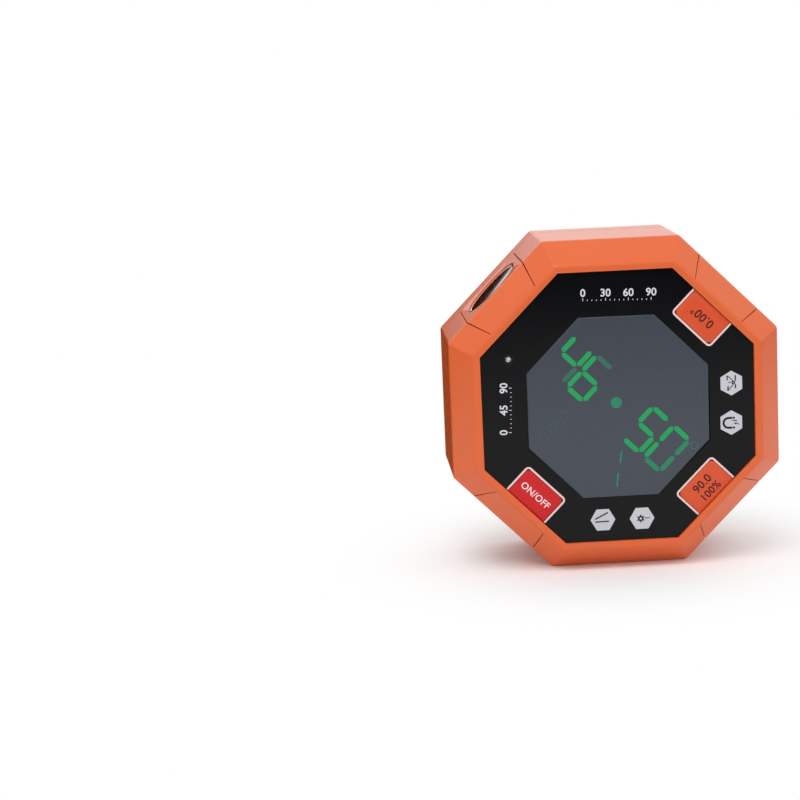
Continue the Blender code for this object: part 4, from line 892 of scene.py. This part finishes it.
class DressPanel(bpy.types.Operator):
    """Fits the glossy face panel closely into the rim and prints the outlines of the keys"""
    bl_idname = "gauge.dress_panel"
    bl_label = "Face Panel"

    def execute(self, context):
        looks = context.scene.gauge_panel
        black = glossy("black_acrylic", looks.colour, 0.07, specular=0.17, dust=(0.06, 0.06, 0.06))
        shape = solid_copy("front_panel")
        stretch = (PANEL_FLAT + CLEARANCE - looks.gap) / PANEL_FLAT
        for vertex in shape.verts:
            if near(flat_distance(vertex.co.x, vertex.co.y), PANEL_FLAT):
                vertex.co.x *= stretch
                vertex.co.y *= stretch

        def on_top(edge):
            level = all(near(vertex.co.z, 0) for vertex in edge.verts)
            return level and len(edge.link_faces) == 2 and edge.calc_face_angle() > 1

        round_edges(shape, on_top, looks.edge, 2)
        finished("face_panel", to_mesh(shape, "face_panel"), black, "root", "black_acrylic",
                 "front_panel", flats=True)
        line = prisms([rotated(self.key_outline(name, angle, looks), angle)
                       for name, angle in KEYS.items()])
        finished("key_outlines", to_mesh(line, "key_outlines"), ink("outline_ink", looks.outline),
                 "root", "white_plastic")
        return {"FINISHED"}

    def key_outline(self, name, angle, looks):
        """A band on three sides of a key's opening, open towards the rim."""
        low, high = cap_box(name, angle)
        start = low.x - CLEARANCE
        half = high.y + CLEARANCE
        end = PANEL_FLAT + 0.1 * MM

        def path(grow):
            radius = looks.outline_corner + grow
            near_corner = (start - grow + radius, half + grow - radius)
            curve = arc(near_corner, radius, 90, 180, 8)
            mirrored = [(x, -y) for x, y in curve[::-1]]
            return [(end, half + grow), *curve, *mirrored, (end, -half - grow)]

        return path(looks.outline_width) + path(0.02 * MM)[::-1]


def cap_box(name, angle):
    """The box of a key's cap in the frame of its side, without the flange under the panel."""
    points = side_points(name + "_key", angle)
    top = max(point.z for point in points)
    return extent([point for point in points if point.z > top - CAP_POINTS_DEPTH])


class DressDisplay(bpy.types.Operator):
    """Makes the smoked window with its digits, point, degree ring and faint symbols"""
    bl_idname = "gauge.dress_display"
    bl_label = "Display"

    LIT = {"0": "abcdef", "1": "bc", "2": "abged", "3": "abgcd", "4": "fgbc", "5": "afgcd",
           "6": "afgedc", "7": "abc", "8": "abcdefg", "9": "abfgcd"}
    WEAK = {(0, "c"): "dim", (1, "a"): "dim", (3, "b"): "half_lit", (3, "d"): "half_lit",
            (3, "c"): "half_lit"}
    PLACES = (-17.93 * MM, -10.6 * MM, 9.48 * MM, 16.95 * MM)
    LINE = 0.4 * MM
    POINT = (-1.15 * MM, LINE)
    POINT_RADIUS = 1.45 * MM
    DEGREE_RING = (21.7 * MM, 5.8 * MM)
    WINDOW_GROWTH = 0.22 * MM
    WINDOW_ROUND = 0.4 * MM

    def execute(self, context):
        looks = context.scene.gauge_display
        smoked = glossy("smoked_acrylic", looks.colour, 0.09, specular=0.42)
        shape = solid_copy("display_window")
        stretch = (WINDOW_FLAT + self.WINDOW_GROWTH) / WINDOW_FLAT
        for vertex in shape.verts:
            vertex.co.x *= stretch
            vertex.co.y *= stretch
        round_edges(shape, lambda edge: all(near(vertex.co.z, 0) for vertex in edge.verts),
                    self.WINDOW_ROUND, 2)
        finished("smoked_window", to_mesh(shape, "smoked_window"), smoked, "root", "smoked_acrylic",
                 "display_window", flats=True)
        inks = {"lit": looks.lit, "half_lit": looks.half_lit, "dim": looks.dim, "ghost": looks.ghost}
        outlines = {key: [] for key in inks}
        for place, (digit, middle) in enumerate(zip(looks.reading, self.PLACES)):
            for segment in self.LIT[digit]:
                strength = self.WEAK.get((place, segment), "lit")
                outlines[strength].append(self.segment(looks, segment, (middle, self.LINE)))
        outlines["half_lit"].append(disc(self.POINT, self.POINT_RADIUS))
        outlines["ghost"] += self.faint_marks()
        outlines["dim"] += ring_halves(self.DEGREE_RING, 0.95 * MM, 0.25 * MM)
        for key, colour in inks.items():
            printed = put(prisms(outlines[key]), degrees=-45)
            if key == "half_lit":
                printed = joined([printed, prisms(self.dashes())])
            finished("segments_" + key, to_mesh(printed, "segments_" + key),
                     ink("segment_" + key, colour, 0.35, 0.2), "root", "smoked_acrylic")
        return {"FINISHED"}

    def segment(self, looks, letter, centre):
        """One of a digit's seven bars, lettered clockwise from the top, the middle one last."""
        half = looks.bar_width / 2
        wide = looks.digit_width / 2 - half
        tall = looks.digit_height / 2 - half
        gap = 0.22 * MM
        x, y = centre
        ends = {
            "a": ((x - wide, y + tall), (x + wide, y + tall)),
            "b": ((x + wide, y + tall), (x + wide, y)),
            "c": ((x + wide, y), (x + wide, y - tall)),
            "d": ((x - wide, y - tall), (x + wide, y - tall)),
            "e": ((x - wide, y), (x - wide, y - tall)),
            "f": ((x - wide, y + tall), (x - wide, y)),
            "g": ((x - wide, y), (x + wide, y)),
        }
        start, end = map(Vector, ends[letter])
        step = (end - start).normalized() * gap
        return bar(start + step, end - step, looks.bar_width, half)

    def dashes(self):
        """Two long dashes that lean a little, below the middle of the window."""
        lines = (((0.50, -11.64), (-0.01, -14.99)), ((-0.49, -17.33), (-1.01, -21.20)))
        return [bar([v * MM for v in start], [v * MM for v in end], 0.42 * MM, 0.3 * MM)
                for start, end in lines]

    def faint_marks(self):
        """A spirit level's vial with its bubble, all but out."""
        centre = Vector((-9.0 * MM, -15.0 * MM))
        half_length = 5.0 * MM
        half_width = 1.2 * MM
        mark = 1.5 * MM
        line = 0.3 * MM
        long_sides = [((x, -half_length), (x, half_length)) for x in (-half_width, half_width)]
        cross = [((-half_width, y), (half_width, y)) for y in (-half_length, -mark, mark, half_length)]
        outlines = [bar(centre + Vector(start), centre + Vector(end), line)
                    for start, end in long_sides + cross]
        return outlines + ring_halves(centre, 0.75 * MM, line)


class DressKeys(bpy.types.Operator):
    """Dresses the three keys with their words, and the switches under them"""
    bl_idname = "gauge.dress_keys"
    bl_label = "Keys"

    WORDS = {
        "power": [("ON/OFF", (-0.1, 0.0), -45.0, 0.88)],
        "zero": [("0.00\u00b0", (0.0, 0.1), 135.0, 1.12)],
        "hold": [("90.0", (-0.1, 1.3), 45.0, 1.1), ("100%", (0.2, -1.7), 45.0, 1.0)],
    }

    LETTER_WEIGHT = 0.04 * MM
    LETTER_SPACING = 1.05

    # Rise of a cap's shoulder from its edge inwards, as shares of its width and of its height
    SHOULDER = ((0.1, 0.3), (0.25, 0.5), (0.6, 0.78), (0.85, 0.93), (1.0, 1.0))

    def execute(self, context):
        looks = context.scene.gauge_keys
        pale = ink("pale_key_ink", looks.pale_ink)
        dark = ink("dark_key_ink", looks.dark_ink)
        for name, angle in KEYS.items():
            red = name == "power"
            colour = looks.power if red else looks.orange
            slot = "red_key" if red else "orange_key"
            material = plastic(slot, colour, 0.2, depth=0.001 * MM, specular=0.32)
            body = name + "_key"
            place = side_frame(angle)
            shape = solid_copy(body, place)
            low, high = cap_box(name, angle)
            bmesh.ops.bisect_plane(shape, geom=[*shape.verts, *shape.edges, *shape.faces],
                                   plane_co=(0, 0, high.z - looks.hidden + looks.gap),
                                   plane_no=(0, 0, 1), clear_outer=True)
            bmesh.ops.holes_fill(shape, edges=shape.edges)
            shape = joined([shape, self.soft_cap(low, high, looks)])
            finished("cap_" + body, to_mesh(shape, body, place), material, body, slot, body, flats=True)
            self.print_words(name, angle, high.z, looks, pale if red else dark, body, slot)
            paint("switch_plunger_" + name, white_plastic())
            paint("switch_body_" + name, black_plastic())
        return {"FINISHED"}

    def soft_cap(self, low, high, looks):
        """The visible top of a key, with a soft shoulder all round that is wider towards the rim."""
        grow = looks.gap - CLEARANCE
        levels = [(grow, grow, high.z - looks.hidden), (grow, grow, high.z - looks.drop)]
        levels += [(width * looks.shoulder, width * looks.rim_shoulder, high.z - looks.drop * (1 - height))
                   for width, height in self.SHOULDER]
        return lofted([[(x, y, height) for x, y in self.cap_ring(low, high, looks, inset, rim_inset)]
                       for inset, rim_inset, height in levels])

    @staticmethod
    def cap_ring(low, high, looks, inset, rim_inset):
        """Outline of a cap drawn in all round, with its two inner corners rounded."""
        middle = (low.x + looks.corner, high.y - looks.corner)
        curve = arc(middle, looks.corner - inset, 90, 180, 8)
        mirrored = [(x, -y) for x, y in curve[::-1]]
        rim, half = high.x - rim_inset, high.y - inset
        return [(rim, half), *curve, *mirrored, (rim, -half)]

    def print_words(self, name, angle, top, looks, material, body, slot):
        centre = side_middle(name, angle)
        shapes = []
        for words, (right, up), degrees, scale in self.WORDS[name]:
            shape = text_shape(words, looks.letter * scale, top + PRINT_LOW, top + PRINT_HIGH,
                               self.LETTER_WEIGHT, self.LETTER_SPACING)
            lift = rotated([(right * MM, up * MM)], degrees)[0]
            shapes.append(put(shape, (centre[0] + lift[0], centre[1] + lift[1]), degrees))
        mesh = to_mesh(joined(shapes), "words_" + name)
        finished("words_" + name, mesh, material, body, slot)


def side_middle(name, angle):
    """The middle of a key on the dial."""
    low, high = cap_box(name, angle)
    return rotated([((low.x + high.x) / 2, 0)], angle)[0]


class PrintScales(bpy.types.Operator):
    """Prints a short scale with plain numbers above the window and one to its left"""
    bl_idname = "gauge.print_scales"
    bl_label = "Scales"

    TICKS_BETWEEN = 5

    def execute(self, context):
        looks = context.scene.gauge_panel
        material = ink("scale_ink", looks.ink)
        rows = (
            ("top", ("0", "30", "60", "90"), (0.41 * MM, 29.37 * MM), -1.7, 17.6 * MM),
            ("left", ("0", "45", "90"), (-29.4 * MM, 0.56 * MM), 88.0, 11.6 * MM),
        )
        for name, numbers, spot, degrees, length in rows:
            shapes = []
            pitch = length / (len(numbers) - 1)
            for index, number in enumerate(numbers):
                shape = text_shape(number, looks.number_size, PRINT_LOW, PRINT_HIGH, 0.05 * MM)
                shapes.append(put(shape, (index * pitch - length / 2, 0.35 * MM)))
            count = self.TICKS_BETWEEN * (len(numbers) - 1) + 1
            ticks = grown(shared("tick_row"), [(0, 0, 0)], {
                "Count": count, "Pitch": length / (count - 1), "Every": self.TICKS_BETWEEN,
                "Tick Width": 0.16 * MM, "Short": 0.35 * MM, "Long": 0.7 * MM,
                "Thickness": PRINT_HIGH - PRINT_LOW, "Material": material})
            row = shape_of(ticks)
            shift = (-length / 2, -looks.number_size / 2 - 0.75 * MM, (PRINT_LOW + PRINT_HIGH) / 2)
            bmesh.ops.translate(row, verts=row.verts, vec=shift)
            shapes.append(row)
            whole = put(joined(shapes), spot, degrees)
            finished("scale_" + name, to_mesh(whole, "scale_" + name), material, "root", "white_plastic")
        return {"FINISHED"}


class PrintBadges(bpy.types.Operator):
    """Prints the four six-sided badges with their plain symbols"""
    bl_idname = "gauge.print_badges"
    bl_label = "Badges"

    SPOTS = {
        "balance": (29.44, 4.67, 30.0),
        "magnet": (29.25, -5.70, 30.0),
        "angle": (-4.88, -29.67, 0.0),
        "laser": (5.36, -29.81, 0.0),
    }

    def execute(self, context):
        looks = context.scene.gauge_panel
        pale = ink("badge_ink", looks.badge, 0.4)
        dark = ink("symbol_ink", looks.symbol, 0.4)
        for name, (x, y, turn) in self.SPOTS.items():
            plate = grown(shared("badge"), [(x * MM, y * MM, (PRINT_LOW + PRINT_HIGH) / 2)], {
                "Radius": looks.badge_radius, "Thickness": PRINT_HIGH - PRINT_LOW,
                "Turn": math.radians(turn), "Material": pale})
            badge = to_mesh(shape_of(plate), "badge_" + name)
            finished("badge_" + name, badge, pale, "root", "white_plastic")
            symbol = put(prisms(getattr(self, name + "_symbol")(), SECOND_LOW, SECOND_HIGH),
                         (x * MM, y * MM))
            finished("symbol_" + name, to_mesh(symbol, "symbol_" + name), dark, "root", "black_acrylic")
        return {"FINISHED"}

    @staticmethod
    def strokes(*lines):
        """Straight strokes given as (start, end, width) in millimetres."""
        return [bar([value * MM for value in first], [value * MM for value in last], width * MM)
                for first, last, width in lines]

    def magnet_symbol(self):
        """A horseshoe open to the right, with the tips of its poles set off and two sparks."""
        middle = (-0.75 * MM, -0.05 * MM)
        bend = band(middle, 1.28 * MM, 0.56 * MM, 90, 270)
        return [bend, *self.strokes(
            ((-0.75, 1.23), (0.2, 1.23), 0.56), ((-0.75, -1.33), (0.2, -1.33), 0.56),
            ((0.32, 1.23), (0.92, 1.23), 0.5), ((0.32, -1.33), (0.92, -1.33), 0.5),
            ((0.2, 0.52), (0.95, 0.52), 0.2), ((0.9, 0.55), (1.45, 0.36), 0.3),
            ((0.75, -0.3), (1.35, -0.22), 0.34), ((1.3, -0.2), (2.05, -0.52), 0.2))]

    def angle_symbol(self):
        """Two lines that open from each other."""
        return self.strokes(((-2.05, -0.52), (1.56, -0.44), 0.34), ((-2.05, 0.22), (1.37, 1.89), 0.36))

    def balance_symbol(self):
        """An upright with a round pivot, from which two thin arms spread, each with a hooked end."""
        pivot = (0.5 * MM, 0.12 * MM)
        return [*ring_halves(pivot, 0.32 * MM, 0.34 * MM), *self.strokes(
            ((1.05, 2.0), (1.05, 0.55), 0.34), ((1.05, -0.3), (1.05, -1.4), 0.34),
            ((0.4, 0.62), (-1.0, 1.95), 0.22), ((-1.08, 1.98), (-1.08, 0.75), 0.3),
            ((0.45, -0.4), (-0.85, -1.95), 0.22), ((-0.95, -1.9), (-0.85, -0.75), 0.34),
            ((-0.2, 0.35), (-0.75, 0.1), 0.24))]

    def laser_symbol(self):
        """A spark with short rays and a thin beam to the right."""
        spark = (-0.34 * MM, -0.05 * MM)
        rays = []
        ray = [(0.6 * MM, -0.24 * MM), (1.18 * MM, -0.03 * MM), (1.18 * MM, 0.03 * MM),
               (0.6 * MM, 0.24 * MM)]
        for index in range(6):
            rays.append(rotated(ray, 90 + 60 * index, spark))
        return [*ring_halves(spark, 0.52 * MM, 0.42 * MM), *rays,
                *self.strokes(((0.75, 0.02), (1.5, 0.02), 0.26), ((1.62, 0.06), (2.0, 0.16), 0.26))]


class DressLamp(bpy.types.Operator):
    """Makes the small status lamp behind its hole"""
    bl_idname = "gauge.dress_lamp"
    bl_label = "Status Lamp"

    def execute(self, context):
        low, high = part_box("status_led")
        centre_x, centre_y = (low.x + high.x) / 2, (low.z + high.z) / 2 - CENTRE_HEIGHT
        resin = self.resin_material()
        tip = 0.92 * MM
        top = -0.12 * MM
        bottom = FACE - high.y
        body = (high.x - low.x) / 2
        dome = [(tip * math.cos(step * math.pi / 16), top - tip * 0.6 * (1 - math.sin(step * math.pi / 16)))
                for step in range(9)]
        shoulder = -1.8 * MM
        body_bottom = shoulder - 4.0 * MM
        leg = 0.8 * MM
        profile = [*dome[::-1], (tip, shoulder), (body, shoulder), (body, body_bottom),
                   (leg, body_bottom), (leg, bottom), (0, bottom)]
        profile[0] = (0, profile[0][1])
        shape = put(turned(profile, 40), (centre_x, centre_y))
        finished("lamp", to_mesh(shape, "lamp"), resin, "root", "led_resin", "status_led", flats=True)
        collar = prisms(ring_halves((centre_x, centre_y), 1.12 * MM, 0.16 * MM))
        finished("lamp_ring", to_mesh(collar, "lamp_ring"), ink("lamp_ring_ink", srgb(30, 28, 24)),
                 "root", "black_acrylic")
        return {"FINISHED"}

    def resin_material(self):
        """Clear resin whose colour is mottled in blurred pale and dark patches: painted glints on a darker
        lens.
        """
        material, tree, shader = new_material("led_resin", Coat_Weight=0.6, Coat_Roughness=0.04)
        spot = add(tree, "ShaderNodeTexCoord").outputs["Object"]
        painted_glint_noise = add(tree, "ShaderNodeTexNoise", {"Vector": spot, "Scale": 1150.0, "Detail": 1.0})
        # Painted glints: the noise mottles the resin's colour between a dark and a pale patch
        mix = add(tree, "ShaderNodeValToRGB", {"Fac": painted_glint_noise.outputs["Fac"]})
        low, high = mix.color_ramp.elements
        low.position, low.color = 0.4, (*srgb(58, 50, 42), 1)
        high.position, high.color = 0.6, (*srgb(212, 204, 200), 1)
        tree.links.new(mix.outputs["Color"], shader.inputs["Base Color"])
        out = skin(tree, "polished_skin", {"Roughness": 0.1})
        tree.links.new(out["Roughness"], shader.inputs["Roughness"])
        dent(tree, shader, painted_glint_noise.outputs["Fac"], 0.1 * MM)
        return material


class DressScrews(bpy.types.Operator):
    """Makes the cross-recessed screws of the housing, the cover and the board"""
    bl_idname = "gauge.dress_screws"
    bl_label = "Screws"

    def execute(self, context):
        looks = context.scene.gauge_metal
        # Name, body, solids, then the height of the head and the shank's diameter in millimetres
        groups = (
            ("housing_screws", "root", ["housing_screw_%d" % number for number in range(1, 5)], 1.6, 2.6),
            ("cover_screw", "battery_cover", ["battery_cover_screw"], 0.9, 2.0),
            ("board_screws", "root", ["board_screw_%d" % number for number in range(1, 5)], 1.3, 1.8),
        )
        for name, body, nodes, head_height, shank in groups:
            boxes = [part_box(node) for node in nodes]
            points = [((low.x + high.x) / 2, high.y, (low.z + high.z) / 2) for low, high in boxes]
            low, high = boxes[0]
            mesh = grown(shared("cross_screw"), points, {
                "Head Diameter": high.x - low.x, "Head Height": head_height * MM,
                "Shank Diameter": shank * MM, "Length": high.y - low.y - head_height * MM,
                "Slot Width": looks.slot_width, "Material": steel()})
            mesh.shade_flat()
            finished(name, mesh, steel(), body, "steel", *nodes)
        return {"FINISHED"}


class DressInside(bpy.types.Operator):
    """Coats the display stack, the board with its components, the cells and their contacts"""
    bl_idname = "gauge.dress_inside"
    bl_label = "Inner Parts"

    def execute(self, context):
        looks = context.scene.gauge_metal
        nickel = metal("nickel_contact", looks.nickel, 0.18, (1.0, 0.06, 1.0))
        paint("display_glass", glossy("display_glass", srgb(60, 66, 70), 0.04, transmission=0.4))
        paint("backlight_diffuser", plastic("diffuser", srgb(226, 228, 226), 0.6, mottle=0.03))
        paint("display_frame", white_plastic())
        paint("main_board", self.board_material())
        for node in ("controller_chip", "tilt_sensor", "buzzer", "voltage_regulator", "choke_coil"):
            paint(node, black_plastic())
        paint("clock_crystal", steel())
        for node in ("laser_lead_upper_right", "laser_lead_lower_left", "battery_lead_negative"):
            paint(node, plastic("black_lead", srgb(30, 30, 32), 0.5))
        paint("battery_lead_positive", plastic("red_lead", srgb(170, 28, 26), 0.5))
        for node in ("contact_bridge", "contact_positive", "contact_negative"):
            paint(node, nickel)
        for name, side in (("upper", 1), ("lower", -1)):
            paint("battery_" + name, self.jacket_material(name, side))
            paint("battery_spring_" + name, steel())
        return {"FINISHED"}

    def board_material(self):
        """Green solder mask over copper tracks."""
        material, tree, shader = new_material("circuit_board", Coat_Weight=0.3, Coat_Roughness=0.2)
        spot = add(tree, "ShaderNodeTexCoord").outputs["Object"]
        upright = add(tree, "ShaderNodeMapping", {"Vector": spot, "Rotation": (math.pi / 2, 0, 0)})
        tracks = add(tree, "ShaderNodeTexBrick", {
            "Vector": upright.outputs[0], "Scale": 160.0, "Mortar Size": 0.02, "Brick Width": 0.9,
            "Row Height": 0.12, "Color1": (0.004, 0.075, 0.022, 1), "Color2": (0.005, 0.09, 0.027, 1),
            "Mortar": (0.012, 0.17, 0.05, 1)})
        tree.links.new(tracks.outputs["Color"], shader.inputs["Base Color"])
        out = skin(tree, "moulded_skin", {"Roughness": 0.32})
        tree.links.new(out["Roughness"], shader.inputs["Roughness"])
        dent(tree, shader, tracks.outputs["Fac"], 0.02 * MM)
        return material

    def jacket_material(self, name, side):
        """A cell's printed jacket: a dark body, a copper shoulder at the nub end, bare ends."""
        material, tree, shader = new_material("cell_jacket_" + name, Coat_Weight=0.4, Coat_Roughness=0.08)
        low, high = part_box("battery_" + name)
        spot = add(tree, "ShaderNodeTexCoord").outputs["Object"]
        along = add(tree, "ShaderNodeSeparateXYZ", {0: spot}).outputs["X"]
        foot, nub = (low.x, high.x) if side > 0 else (high.x, low.x)
        ramp = add(tree, "ShaderNodeValToRGB", {"Fac": fade(tree, along, foot, nub)})
        ramp.color_ramp.interpolation = "CONSTANT"
        bands = ((0.0, srgb(190, 188, 184)), (0.012, srgb(38, 40, 46)), (0.62, srgb(200, 198, 194)),
                 (0.64, srgb(38, 40, 46)), (0.74, srgb(176, 110, 62)), (0.972, srgb(190, 188, 184)))
        elements = ramp.color_ramp.elements
        for index, (place, colour) in enumerate(bands):
            element = elements[index] if index < len(elements) else elements.new(place)
            element.position = place
            element.color = (*colour, 1)
        out = skin(tree, "moulded_skin", {"Colour": ramp.outputs["Color"], "Roughness": 0.3,
                                          "Mottle": 0.05})
        feed_all(tree, shader, out, 0.002 * MM)
        return material


class SetStage(bpy.types.Operator):
    """Lays the pale floor, lights the gauge softly and sets the camera"""
    bl_idname = "gauge.set_stage"
    bl_label = "Studio"

    FLOOR_REACH = 4.0
    LAMP_SIZE = (0.45, 0.35)
    LAMP_PLACE = (-0.18, -0.32, 0.72)
    LAMP_AIM = (0, 0, 0.04)
    SENSOR_WIDTH = 36.0

    # Distances from the gauge between which the lit floor turns plain white
    WHITE_REACH = (0.015, 0.08)

    # Distances between which the floor's reflection fades, and what is left of it
    MIRROR_REACH = (0.22, 0.62)
    MIRROR_LEFT = 0.05

    # Bounds between which the floor turns dark for reflections, to the left and to the back
    DARK_LEFT = (-0.02, -0.05)
    DARK_BEHIND = (0.03, 0.05)

    # Dark areas behind the gauge and to its left, one for reflections and one for soft light: the
    # way to the area, how squarely a ray has to point there, and how high the area reaches
    MIRROR_CARD = ((-0.29, 0.957, 0), (0.93, 0.97), (0.094, 0.1))
    SOFT_CARD = ((-0.87, 0.5, 0), (0.45, 0.8), (0.35, 0.6))
    CARD_COLOUR = (0.03, 0.006, 0.004, 1)

    def execute(self, context):
        looks = context.scene.gauge_studio
        self.lay_floor(looks)
        self.light_world(context.scene, looks)
        self.hang_lamp(looks)
        self.set_camera(context.scene, looks)
        context.scene.view_settings.view_transform = "Standard"
        return {"FINISHED"}

    def lay_floor(self, looks):
        shape = bmesh.new()
        bmesh.ops.create_grid(shape, x_segments=1, y_segments=1, size=self.FLOOR_REACH)
        mesh = bpy.data.meshes.new("floor")
        shape.to_mesh(mesh)
        shape.free()
        floor = linked("floor", mesh)
        mesh.materials.append(self.floor_material(looks))

    def floor_material(self, looks):
        """Pale and lit near the gauge, and plain white further off for the camera and reflections.

        Reflections find it dark behind the gauge at the left, and less bright a long way off."""
        material, tree, shader = new_material("studio_floor", Roughness=0.8, Specular_IOR_Level=0.1)
        shader.inputs["Base Color"].default_value = (*looks.floor, 1)
        spot = add(tree, "ShaderNodeTexCoord").outputs["Object"]
        reach = add(tree, "ShaderNodeVectorMath", {0: spot}, operation="LENGTH").outputs["Value"]
        far = fade(tree, reach, *self.WHITE_REACH, kind="SMOOTHSTEP")
        path = add(tree, "ShaderNodeLightPath").outputs
        seen = math_node(tree, "MAXIMUM", path["Is Camera Ray"], path["Is Glossy Ray"])
        seen = math_node(tree, "MAXIMUM", seen, path["Is Transmission Ray"])
        share = math_node(tree, "MULTIPLY", far, seen)
        axes = add(tree, "ShaderNodeSeparateXYZ", {0: spot}).outputs
        left = fade(tree, axes["X"], *self.DARK_LEFT)
        behind = fade(tree, axes["Y"], *self.DARK_BEHIND)
        dark = math_node(tree, "MULTIPLY", left, behind)
        dark = math_node(tree, "MULTIPLY", dark, path["Is Glossy Ray"])
        fall = fade(tree, reach, *self.MIRROR_REACH, 1.0, self.MIRROR_LEFT)
        level = add(tree, "ShaderNodeMix", {0: path["Is Glossy Ray"], 2: 1.0, 3: fall}).outputs[0]
        level = math_node(tree, "MULTIPLY", level, math_node(tree, "SUBTRACT", 1.0, dark))
        white = add(tree, "ShaderNodeEmission", {"Color": (1, 1, 1, 1), "Strength": level})
        mix = add(tree, "ShaderNodeMixShader", {0: share, 1: shader.outputs[0], 2: white.outputs[0]})
        tree.links.new(mix.outputs[0], tree.nodes["Material Output"].inputs["Surface"])
        return material

    def light_world(self, scene, looks):
        """White for the camera, and soft light from all round but for the two dark areas."""
        world = bpy.data.worlds.new("studio")
        scene.world = world
        world.use_nodes = True
        tree = world.node_tree
        tree.nodes.clear()
        way = add(tree, "ShaderNodeTexCoord").outputs["Generated"]
        height = add(tree, "ShaderNodeSeparateXYZ", {0: way}).outputs["Z"]
        path = add(tree, "ShaderNodeLightPath").outputs
        cards = []
        for heading, squarely, top in (self.SOFT_CARD, self.MIRROR_CARD):
            facing = add(tree, "ShaderNodeVectorMath", {0: way, 1: heading}, operation="DOT_PRODUCT")
            side = fade(tree, facing.outputs["Value"], *squarely, kind="SMOOTHSTEP")
            low = fade(tree, height, *top, 1.0, 0.0)
            cards.append(math_node(tree, "MULTIPLY", side, low))
        dark = add(tree, "ShaderNodeMix", {0: path["Is Glossy Ray"], 2: cards[0], 3: cards[1]}).outputs[0]
        colour = add(tree, "ShaderNodeMix", {"Factor": dark, 6: (1, 1, 1, 1), 7: self.CARD_COLOUR},
                     data_type="RGBA").outputs[2]
        level = add(tree, "ShaderNodeMix", {0: path["Is Glossy Ray"], 2: looks.sky, 3: 1.0}).outputs[0]
        soft = add(tree, "ShaderNodeBackground", {"Color": colour, "Strength": level})
        white = add(tree, "ShaderNodeBackground", {"Color": (1, 1, 1, 1), "Strength": 1.0})
        mix = add(tree, "ShaderNodeMixShader", {0: path["Is Camera Ray"], 1: soft.outputs[0],
                                                2: white.outputs[0]})
        out = add(tree, "ShaderNodeOutputWorld")
        tree.links.new(mix.outputs[0], out.inputs["Surface"])

    def hang_lamp(self, looks):
        data = bpy.data.lights.new("overhead", "AREA")
        data.shape = "RECTANGLE"
        data.size, data.size_y = self.LAMP_SIZE
        data.energy = looks.lamp
        lamp = linked("overhead", data)
        lamp.location = self.LAMP_PLACE
        aim = Vector(self.LAMP_AIM) - lamp.location
        lamp.rotation_euler = aim.to_track_quat("-Z", "Y").to_euler()

    def set_camera(self, scene, looks):
        data = bpy.data.cameras.new("camera")
        data.lens = looks.lens
        data.sensor_width = self.SENSOR_WIDTH
        camera = linked("camera", data)
        camera.location = looks.camera_place
        camera.rotation_euler = looks.camera_turn
        scene.camera = camera


class GaugePanel(bpy.types.Panel):
    """Lists the steps that dress the gauge"""
    bl_idname = "VIEW3D_PT_angle_gauge"
    bl_label = "Digital Angle Gauge"
    bl_space_type = "VIEW_3D"
    bl_region_type = "UI"
    bl_category = "Angle Gauge"

    def draw(self, context):
        for step in STEPS:
            self.layout.operator(step.bl_idname)


LOOKS = {"gauge_housing": HousingLooks, "gauge_panel": PanelLooks, "gauge_display": DisplayLooks,
         "gauge_keys": KeyLooks, "gauge_metal": MetalLooks, "gauge_studio": StudioLooks}
STEPS = (DressHousing, DressSideCaps, DressDiscs, DressPanel, DressDisplay, DressKeys, PrintScales,
         PrintBadges, DressLamp, DressScrews, DressInside, SetStage)


def register():
    for kind in (*LOOKS.values(), *STEPS, GaugePanel):
        bpy.utils.register_class(kind)
    for name, kind in LOOKS.items():
        setattr(bpy.types.Scene, name, PointerProperty(type=kind))


def unregister():
    for name in LOOKS:
        delattr(bpy.types.Scene, name)
    for kind in reversed((*LOOKS.values(), *STEPS, GaugePanel)):
        bpy.utils.unregister_class(kind)


def main():
    register()
    for step in STEPS:
        family, action = step.bl_idname.split(".")
        getattr(getattr(bpy.ops, family), action)()


if __name__ == "__main__":
    main()
